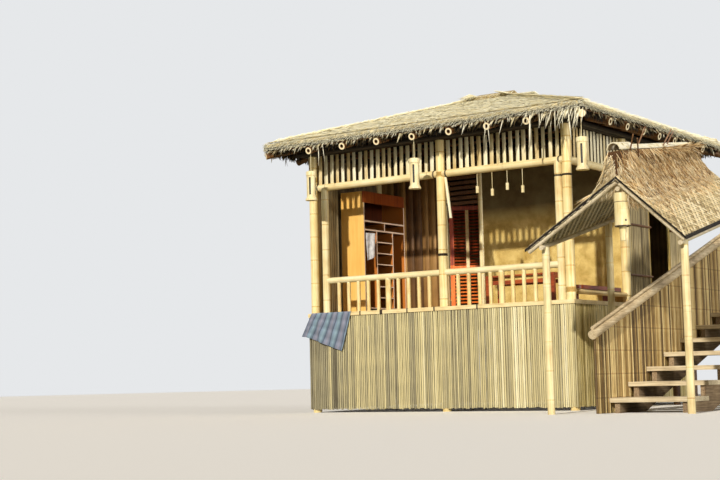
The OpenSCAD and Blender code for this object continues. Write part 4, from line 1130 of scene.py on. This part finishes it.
def eave_brush(slope, length):
    """Cut ends of the grass that face outwards over the nose of the eave."""
    room = slope[4]
    places = []
    for _ in range(int(length * BRUSH)):
        u = between(0.055, length - 0.055)
        layer = chance.random()
        s = 0.13 - 0.05 * layer
        if u < s or u > length - s:
            s = 0.085
        root = spot(slope, u, s, top_of_thatch(s) - 0.002 - 0.080 * layer)
        tip_s = 0.012 + 0.022 * layer + between(-0.012, 0.018) - max(0, room) * 0.15
        tip_s = max(tip_s, 0.006)
        tip_z = root.z - (s - tip_s) * (0.38 + 0.55 * layer) + between(-0.010, 0.004)
        tip = spot(slope, u + between(-0.022, 0.022), tip_s, tip_z)
        # Lower layers of the brush are painted a little darker, as shaded by the blades above
        tint = 1.0 - 0.12 * layer + between(-0.26, 0.12)
        places.append(reach(root, tip, UP, between(0.014, 0.026), tint))
    return places


def eave_fringe(slope, length):
    """Ragged tufts under the eave: a back layer painted nearly black as the shade under the nose, and
    pale pointed ones in front, short where they would hide a rafter's end."""
    _, _, eave, inward, room = slope
    pitch = (length - 2 * FIRST_RAFTER) / (RAFTERS - 1)
    places = []
    # The back layer, its low tints painted as the shade under the nose
    for _ in range(int(length * UNDERLAYER)):
        u = between(0.07, length - 0.07)
        root = spot(slope, u, between(0.11, 0.18), eave_z + between(0.0, 0.03))
        out = between(0.0, 0.04)
        tip = root - inward * out - UP * between(0.05, 0.11) + eave * between(-0.03, 0.03)
        places.append(reach(root, tip, -inward, between(0.014, 0.028), between(-0.1, 0.2)))
    u = 0.075
    while u < length - 0.075:
        aside = min(abs(u - FIRST_RAFTER - i * pitch) for i in range(RAFTERS))
        s = between(0.045, 0.075)
        root = spot(slope, u, s, eave_z + between(0.015, 0.055))
        drop = between(0.035, 0.10) if aside > RAFTER_END else between(0.02, 0.04)
        if chance.random() < 0.06 and aside > RAFTER_END:
            drop += between(0.05, 0.12)
        out = min(between(0.02, 0.08), room + s)
        tip = root - inward * out - UP * drop + eave * between(-0.045, 0.02)
        tint = between(0.10, 0.80)
        for _ in range(3):
            start = root + eave * between(-0.022, 0.022) + UP * between(-0.008, 0.012)
            places.append(reach(start, tip, -inward, between(0.012, 0.020), tint))
        u += between(0.026, 0.055)
    return places


for slope in slopes:
    for layer, droop, part in (
        (thatch_courses, -0.35, "thatch_courses"),
        (eave_brush, -0.6, "eave_brush"),
        (eave_fringe, 1.0, "eave_fringe"),
    ):
        places = layer(slope, roof_wide if slope[2].x else roof_deep)
        grass = copies(blade_models(droop), places)
        # Blades that reach past the left and rear edges of the roof are pressed back to them
        for v in grass.data.vertices:
            v.co.x, v.co.y = max(v.co.x, roof_x0), min(v.co.y, roof_y1)
        keep(grass, f"{slope[0]}_{part}", straw, "thatch_straw")

# Long loose wisps at the front right corner, and strands that hang before the strips
wisps = []
for _ in range(45):
    x = max(roof_x1 - abs(chance.gauss(0, 0.55)) - 0.05, roof_x1 - 1.6)
    root = Vector((x, roof_y0 + between(0.03, 0.08), eave_z + between(0.02, 0.07)))
    drop = between(0.12, 0.34)
    tip = root + Vector((between(-0.10, 0.06), -between(0.01, 0.07), -drop))
    wisps.append(reach(root, tip, Y, between(0.008, 0.020), between(0.6, 1.0)))
for x, drop, wide in (
    (-2.78, 0.36, 0.016),
    (-2.70, 0.30, 0.012),
    (0.30, 0.34, 0.014),
    (0.34, 0.42, 0.012),
    (1.05, 0.50, 0.034),
    (1.66, 0.46, 0.030),
):
    root = Vector((x, roof_y0 + 0.05, eave_z + 0.03))
    tip = root + Vector((between(-0.04, 0.04), 0.02, -drop))
    wisps.append(reach(root, tip, Y, wide, 0.95))
keep(copies(blade_models(), wisps), "corner_wisps", straw, "thatch_straw")

# Grass bent over the ridge
cap_lo, cap_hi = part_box("ridge_cap")
ridge = []
for _ in range(900):
    side = chance.choice((-1, 1))
    root = Vector((between(cap_lo.x, cap_hi.x), roof_mid.y + side * between(-0.02, 0.16), 0))
    root.z = cap_hi.z - abs(root.y - roof_mid.y) * RISE - 0.004
    normal = Vector((0, side * math.sin(PITCH), math.cos(PITCH)))
    heading = Vector((between(-0.25, 0.25), side * math.cos(PITCH), -math.sin(PITCH)))
    heading += normal * 0.02
    place = lay(root, heading, normal, between(0.012, 0.024), between(0.12, 0.24))
    ridge.append((place, between(0.3, 0.9)))
keep(copies(blade_models(), ridge), "ridge_blades", straw, "thatch_straw")


# Path: thin culms under the handrail, brown and dull, with pale nodes

rail_culm = fibre_finish(
    "brown_path_culms", "5A4420 A88A50 DCC48A", 2, (12, 200), 0.6, 0.7, tint=0.5, rings=(0.31, 0.05)
)
slats_lo, slats_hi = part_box("handrail_slats")
culms, y = [], slats_lo.y + 0.02
while y < slats_hi.y - 0.02:
    thick = between(0.026, 0.036)
    x = (slats_lo.x + slats_hi.x) / 2 + between(-0.002, 0.002)
    step_z = STEP + (y - path_y) * STEP / TREAD
    foot = x, y, max(0.0, step_z - 0.36) + 0.005
    top = x, y + between(-0.006, 0.006), step_z + 0.880
    culms.append((pole_place(foot, top, thick), chance.random()))
    y += thick + between(0.004, 0.018)
keep(poles(culms, 8), "handrail_culms", rail_culm, "split_bamboo", "handrail_slats")


# Canopy


def canopy_way(w, v, h):
    """A way on the canopy as it leans: w across, v along towards the back, h up."""
    tip_y, tip_z = math.cos(TILT), math.sin(TILT)
    return Vector((w, v * tip_y - h * tip_z, v * tip_z + h * tip_y))


def canopy(w, v, h):
    """A point of the canopy as it stands, v from its front and h over its foot."""
    return Vector((canopy_x, canopy_y, canopy_z)) + canopy_way(w, v, h)


def ribbon_model(cells, pitch, strip, sign):
    """A plaited leaflet along X through the origin that goes over and under at each crossing."""
    bpy.ops.mesh.primitive_grid_add(x_subdivisions=2 * cells, y_subdivisions=1, size=1)
    made = bpy.context.object
    for v in made.data.vertices:
        step = round((v.co.x + 0.5) * 2 * cells) - cells
        lift = 0.003 * sign * (1, 0, -1, 0)[step % 4]
        v.co = Vector((step * pitch / 2, v.co.y * strip, lift))
    finish(made, "SOLIDIFY", thickness=0.0025, offset=0)
    return made


def plaited_sheet(long, wide, pitch, strips, angle):
    """A sheet of leaflets plaited on the slant, trimmed to long by wide. strips are the widths of
    the leaflets that run one way and the other."""
    count = math.ceil((math.hypot(long, wide) / 2 + pitch) / pitch)
    centre = Matrix.Translation((long / 2, wide / 2, 0))
    pieces = []
    for first, strip in zip((1, -1), strips):
        way = Matrix.Rotation(math.radians(angle if first > 0 else angle + 90), 4, "Z")
        models = [ribbon_model(2 * count, pitch, strip, sign) for sign in (first, -first)]
        places = []
        for j in range(-count, count + 1):
            size = Matrix.Diagonal((1, between(0.80, 1.06), 1, 1))
            place = centre @ way @ Matrix.Translation((0, j * pitch, 0)) @ size
            places.append((place, chance.random(), j % 2))
        pieces.append(copies(models, places))
    only(pieces[0])
    pieces[1].select_set(True)
    bpy.ops.object.join()

    def trim():
        for at, way in (((0, 0, 0), -X), ((long, 0, 0), X), ((0, 0, 0), -Y), ((0, wide, 0), Y)):
            bpy.ops.mesh.select_all(action="SELECT")
            bpy.ops.mesh.bisect(plane_co=at, plane_no=way, use_fill=True, clear_outer=True)

    return edit(bpy.context.object, trim)


def on_panel(side, lift):
    """The place of a sheet on a panel: X down from the ridge, Y along, lift over its upper face."""
    slope = math.atan2(CANOPY_RISE, canopy_wide[side])
    down = canopy_way(side * math.cos(slope), 0, -math.sin(slope))
    out = canopy_way(side * math.sin(slope), 0, math.cos(slope))
    along = canopy_way(0, side, 0)
    start = 0 if side > 0 else CANOPY_LONG
    top = canopy(0, start, CANOPY_RISE + CANOPY_THICK / math.cos(slope))
    return basis(down, along, out, top + out * lift)


# Each sheet: its side, its lift, its leaflets' pitch, widths and slant
UNDER = -CANOPY_THICK - 0.004
for side, lift, pitch, strips, angle, material, name in (
    (1, 0.004, 0.062, (0.044, 0.044), 43, tan_leaf, "right_plaited_top"),
    (1, UNDER, 0.078, (0.050, 0.050), 43, tan_leaf, "right_plaited_lining"),
    (-1, 0.005, 0.078, (0.056, 0.056), 47, tan_leaf, "left_plaited_top"),
    (-1, UNDER, 0.090, (0.038, 0.026), 129, grey_leaf, "left_plaited_lining"),
):
    long = math.hypot(canopy_wide[side], CANOPY_RISE) - 0.022
    sheet = plaited_sheet(long, CANOPY_LONG, pitch, strips, angle)
    sheet.data.transform(on_panel(side, lift) @ Matrix.Translation((0.006, 0, 0)))
    keep(sheet, name, material, "woven_palm")

canopy_slope = {side: CANOPY_RISE / canopy_wide[side] for side in (1, -1)}
panel_up = {side: CANOPY_THICK / math.cos(math.atan(canopy_slope[side])) for side in (1, -1)}
mound_long = CANOPY_LONG - 2 * MOUND_IN
mound_top = CANOPY_RISE + panel_up[1] + MOUND_H
mound_fall = (MOUND_H - MOUND_BACK) / mound_long
# Height of the heap at its lower edges, and how far its ends lie within its loose fibres
MOUND_EDGE, END_IN = 0.025, 0.02
# Numbers of loose fibres: all over the heap, strewn beside it, bristling at its front
STRANDS, STREWN, BRISTLES = 7600, 420, 1700


def mound_profile(side, t):
    """Point (w, h) of the heaped fibre's outline, t from its neck at 0 to its edge at 1."""
    w = MOUND_NECK + (MOUND_HALF - MOUND_NECK) * t
    h = CANOPY_RISE - w * canopy_slope[side] + panel_up[side] + MOUND_EDGE
    h += (MOUND_H - MOUND_EDGE + MOUND_NECK * canopy_slope[side]) * max(0, 1 - t) ** 2.2
    return w, h


def mound_point(side, t, v, lift=0.0):
    """A point on the heaped fibre, which gets lower towards the back."""
    w, h = mound_profile(side, t)
    return canopy(side * w, v, min(h, mound_top - (v - MOUND_IN) * mound_fall) + lift)


def mound_body():
    """The heap itself: its outline extruded along the ridge, then roughened."""
    halves = []
    for side, foot in ((1, 0.035), (-1, 0.028)):
        half = [(MOUND_NECK, mound_top - 0.01)] + [mound_profile(side, i / 8) for i in range(9)]
        half.append((MOUND_HALF, CANOPY_RISE - MOUND_HALF * canopy_slope[side] + foot))
        halves.append([(side * w, h) for w, h in half])
    outline = halves[0] + [(0, CANOPY_RISE + 0.036)] + halves[1][::-1]
    bpy.ops.mesh.primitive_circle_add(vertices=len(outline), fill_type="NGON", radius=1)
    made = bpy.context.object
    for v, (w, h) in zip(made.data.vertices, outline):
        v.co = Vector((w, MOUND_IN + END_IN, h))
    cuts = 16
    step = {"value": (0, (mound_long - 2 * END_IN) / cuts, 0)}

    def lengthen():
        for _ in range(cuts):
            bpy.ops.mesh.extrude_region_move(TRANSFORM_OT_translate=step)
        bpy.ops.mesh.select_all(action="SELECT")
        bpy.ops.mesh.normals_make_consistent(inside=False)

    edit(made, lengthen)
    for v in made.data.vertices:
        w, along, h = v.co
        h = min(h, mound_top - 0.012 - (along - MOUND_IN) * mound_fall)
        if h > CANOPY_RISE - abs(w) * 0.5:
            w += between(-0.012, 0.008) * (1 if w > 0 else -1)
            h += between(-0.014, 0.002)
        v.co = canopy(w, along, h)
    return smooth(made, 60)


keep(mound_body(), "canopy_heap", palm_core, "thatch_brown", "canopy_thatch")

# Fibre all over the heap, in long pale strands on its left
heap = []
along = canopy_way(0, 1, 0)
for _ in range(STRANDS):
    side = 1 if chance.random() < 0.55 else -1
    v = between(0.08, CANOPY_LONG - 0.10)
    t = chance.random() ** 0.9
    root = mound_point(side, t, v, -0.010)
    ahead = mound_point(side, min(t + 0.12, 1.12), v) - mound_point(side, t - 0.02, v)
    if ahead.length < 0.005:
        ahead = canopy_way(side, 0, 0)
    ahead.normalize()
    normal = along.cross(ahead) * side
    if normal.z < 0:
        normal = -normal
    heading = ahead + along * between(-0.7, 0.5) + normal * between(0.02, 0.30)
    long = between(0.10, 0.24) * (1.1 - 0.5 * t) if side > 0 else between(0.16, 0.32)
    shade = between(0.05, 0.75) + 0.25 * t if side > 0 else between(0.5, 1.0)
    if side > 0 and v < 0.5:
        shade += 0.1
    heap.append((lay(root, heading, normal, between(0.006, 0.013), long), shade))
# Loose fibres strewn down the right panel
slope = math.atan(canopy_slope[1])
normal = canopy_way(math.sin(slope), 0, math.cos(slope))
for _ in range(STREWN):
    w = MOUND_HALF - 0.06 + abs(chance.gauss(0, 0.09))
    v = between(0.05, CANOPY_LONG - 0.25)
    root = canopy(w, v, CANOPY_RISE - w * canopy_slope[1] + panel_up[1] + 0.010)
    heading = canopy_way(math.cos(slope), between(-1.2, 0.8), -math.sin(slope)) + normal * 0.04
    place = lay(root, heading, normal, between(0.005, 0.010), between(0.10, 0.24))
    heap.append((place, between(0.1, 0.8)))
# Fibres that bristle at the front of the heap
for _ in range(BRISTLES):
    side = chance.choice((-1, 1))
    w, h = mound_profile(side, chance.random())
    low = CANOPY_RISE - w * canopy_slope[side] + 0.04
    at = side * w * between(0.1, 1.0), MOUND_IN + 0.024, low + (h - low) * chance.random()
    heading = canopy_way(side * between(0.0, 0.9), -between(0.05, 0.30), -between(0.3, 1.0))
    shade = between(0.2, 0.9) if side > 0 else between(0.55, 1.0)
    place = lay(canopy(*at), heading, -along, between(0.006, 0.012), between(0.08, 0.16))
    heap.append((place, shade))
fibres = copies(blade_models(), heap)
# None of them reaches past the front of the solids
for v in fibres.data.vertices:
    v.co.y = max(v.co.y, cad_lo.y + 0.001)
keep(fibres, "canopy_fibres", palm_fibre, "thatch_brown")

# Pegs through the heap that hold the culm halves down
pegs = [
    (pole_place(canopy(*a), canopy(*b), 0.018), between(0, 0.6))
    for a, b in (
        ((0.02, 0.42, 1.02), (0.20, 0.28, 1.36)),
        ((0.10, 0.56, 0.98), (0.24, 0.30, 1.30)),
        ((-0.02, 0.80, 1.12), (0.10, 0.92, 1.40)),
        ((0.02, 1.45, 1.00), (0.16, 1.62, 1.28)),
        ((0.00, 1.60, 0.98), (0.12, 1.78, 1.24)),
    )
]
keep(poles(pegs, 8), "canopy_pegs", brown_y, "culm_brown")


# Blanket hung askew over the floor's edge


def blanket_finish():
    """Striped hand-woven cotton: lavender grey and blue-grey bands between thin dark lines, with
    faint bands across; the threads are drawn 12 mm apart."""
    made, tree, surface = begin("striped_cotton", 0.9)
    on_cloth = add(tree, "UVMap", uv_map="weave")
    across, along = add(tree, "SeparateXYZ", {"Vector": on_cloth}).node.outputs[:2]
    tones = "3A3C4E 727E94 8C8EA2 6C7A90 44485C 7488A0 86A0B0 586A7E"
    stops = shades(tones, (0.0, 0.05, 0.25, 0.44, 0.50, 0.55, 0.78, 0.96))
    colour = add(tree, "ValToRGB", {"Fac": repeats(tree, across, 0.215)}, stops)
    stops = [(0.0, 0.42), (0.3, 0.60), (0.6, 0.48), (0.9, 0.40)]
    bands = add(tree, "ValToRGB", {"Fac": repeats(tree, along, 0.16)}, stops)
    colour = stain(tree, colour, bands, 0.7, how="OVERLAY")
    threads = add(tree, "TexWave", {"Vector": on_cloth, "Scale": WAVE / 0.012}, out=1)
    coat(tree, surface, colour, threads, 0.8)
    surface["Sheen Weight"].default_value = 0.3
    return made


def proxy_box(lo, hi):
    """A block that the cloth falls against and that is removed after."""
    bpy.ops.mesh.primitive_cube_add(size=1)
    made = bpy.context.object
    lo, hi = Vector(lo), Vector(hi)
    made.data.transform(Matrix.Translation((lo + hi) / 2) @ Matrix.Diagonal((*(hi - lo), 1)))
    made.modifiers.new("collision", "COLLISION")
    made.collision.thickness_outer = 0.004
    return made


def let_fall(cloth, held, lo, hi):
    """Lets a cloth fall against the floor's edge and the skirt, held at some of its points."""
    cloth.vertex_groups.new(name="held").add(held, 1.0, "REPLACE")
    left, right = lo.x - 0.4, hi.x + 0.4
    blocks = [
        proxy_box((left, edge_lo.y, edge_lo.z - 0.02), (right, front_y, floor_z)),
        proxy_box((left, edge_lo.y + 0.006, 0.2), (right, front_y, floor_z - 0.05)),
    ]
    weave = cloth.modifiers.new("cloth", "CLOTH")
    for key, value in (
        ("quality", 6),
        ("mass", 0.35),
        ("tension_stiffness", 40),
        ("compression_stiffness", 40),
        ("shear_stiffness", 40),
        ("bending_stiffness", 0.6),
        ("vertex_group_mass", "held"),
        ("shrink_min", -0.035),
    ):
        setattr(weave.settings, key, value)
    weave.collision_settings.distance_min = 0.004
    steps = 14
    weave.point_cache.frame_end = steps
    for number in range(steps):
        bpy.context.scene.frame_set(number + 1)
    bpy.context.view_layer.objects.active = cloth
    bpy.ops.object.modifier_apply(modifier=weave.name)
    bpy.context.scene.frame_set(1)
    for block in blocks:
        bpy.data.objects.remove(block)


def blanket_piece():
    """A rectangular cloth turned a little on its way down: pinned on the floor behind the edge,
    and dropped against the skirt."""
    lo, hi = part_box("blanket")
    face_y, top_z = edge_lo.y - 0.006, floor_z + 0.006
    # The share of the cloth that lies on the floor, how deep it lies there, its cut length and
    # the length that is pinned
    lies, back, long, pinned = 0.07, 0.035, 0.60, 0.048
    # Corners at the fold and at the hem, from the left
    fold_a, fold_b = Vector((lo.x + 0.137, 0, 0)), Vector((hi.x, 0, 0))
    hem_a, hem_b = Vector((lo.x - 0.095, 0, -0.320)), Vector((hi.x - 0.19, 0, -0.605))
    bpy.ops.mesh.primitive_grid_add(x_subdivisions=64, y_subdivisions=48, size=1)
    made = bpy.context.object
    flat = []
    for v in made.data.vertices:
        across, down = v.co.x + 0.5, 0.5 - v.co.y
        fall = max(0, (down - lies) / (1 - lies))
        point = fold_a.lerp(hem_a, fall).lerp(fold_b.lerp(hem_b, fall), across)
        if down < lies:
            y = face_y + back * (1 - down / lies)
        else:
            billow = 0.010 * math.sin(across * 11 + 2.0 * fall) * fall
            y = face_y - 0.006 - 0.5 * abs(billow) - 0.004 * fall
        flat.append((across * (fold_b - fold_a).length, down * long))
        v.co = Vector((point.x, y, top_z + point.z))
    uv = made.data.uv_layers.new(name="weave")
    for loop in made.data.loops:
        uv.data[loop.index].uv = flat[loop.vertex_index]
    let_fall(made, [i for i, (_, down) in enumerate(flat) if down <= pinned], lo, hi)
    finish(made, "SOLIDIFY", thickness=0.003, offset=0)
    return smooth(made, 80)


blanket = keep(blanket_piece(), "striped_blanket", blanket_finish(), "striped_cloth", "blanket")


# Stage, light and camera

floor_material, floor_tree, floor_surface = begin("pale_studio_floor", 0.9)
seen = add(floor_tree, "LightPath", out="Is Camera Ray")
tone = linear("84806C")
floor_tree.links.new(stain(floor_tree, tone, "FFFFFF", seen), floor_surface["Base Color"])
bpy.ops.mesh.primitive_circle_add(vertices=64, radius=70, fill_type="NGON")
ground = bpy.context.object
ground.name = "studio_floor"
ground.data.materials.append(floor_material)
ground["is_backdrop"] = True

world = bpy.data.worlds.new("studio")
bpy.context.scene.world = world
world.use_nodes = True
sky = world.node_tree
sky.nodes.clear()
rays = add(sky, "LightPath").node.outputs
seen = rays["Is Camera Ray"]
for ray in ("Is Glossy Ray", "Is Transmission Ray"):
    seen = add(sky, "Math", {0: seen, 1: rays[ray]}, operation="MAXIMUM")
soft = add(sky, "Background", {"Color": "FBF1DE", "Strength": 0.15})
white = add(sky, "Background", {"Color": "E6E8EA", "Strength": 1.0})
both = add(sky, "MixShader", {0: seen, 1: soft, 2: white})
add(sky, "OutputWorld", {"Surface": both})


def enter(name, data, place):
    """Puts a lamp or the camera into the scene, looking along its own -Z."""
    made = bpy.data.objects.new(name, data)
    made.matrix_world = place
    bpy.context.scene.collection.objects.link(made)
    return made


# The sun, and a wide soft light from the right: places, targets, widths in degrees, strengths
for name, at, target, width, power, colour in (
    ("key", (6.4, -40.0, 22.9), (0, -1.2, 2.2), 1.6, 3.55, "FFF6E8"),
    ("fill", (21, -2.5, 3.6), (1, 0, 2.2), 16, 1.85, "FFFAF2"),
):
    sun = bpy.data.lights.new(name, "SUN")
    sun.angle = math.radians(width)
    sun.energy = power
    sun.color = linear(colour)[:3]
    turn = (Vector(target) - Vector(at)).to_track_quat("-Z", "Y").to_matrix().to_4x4()
    enter(name, sun, Matrix.Translation(at) @ turn)

# The camera's place, how far it looks to the left, how far up, and how it leans
CAMERA_AT = Vector((middle_x + 11.768, front_y - 18.949, 0.514))
YAW, TIP, ROLL = math.radians(35.115), math.radians(5.504), math.radians(-1.349)
level = Vector((-math.sin(YAW), math.cos(YAW), 0))
across = Vector((math.cos(YAW), math.sin(YAW), 0))
ahead = level * math.cos(TIP) + UP * math.sin(TIP)
over = UP * math.cos(TIP) - level * math.sin(TIP)
to_right = across * math.cos(ROLL) + over * math.sin(ROLL)
to_top = over * math.cos(ROLL) - across * math.sin(ROLL)
lens = bpy.data.cameras.new("camera")
lens.lens, lens.sensor_width, lens.clip_end = 72.475, 36, 200
bpy.context.scene.camera = enter("camera", lens, basis(to_right, to_top, -ahead, CAMERA_AT))
bpy.context.scene.view_settings.view_transform = "Standard"

lo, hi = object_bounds()
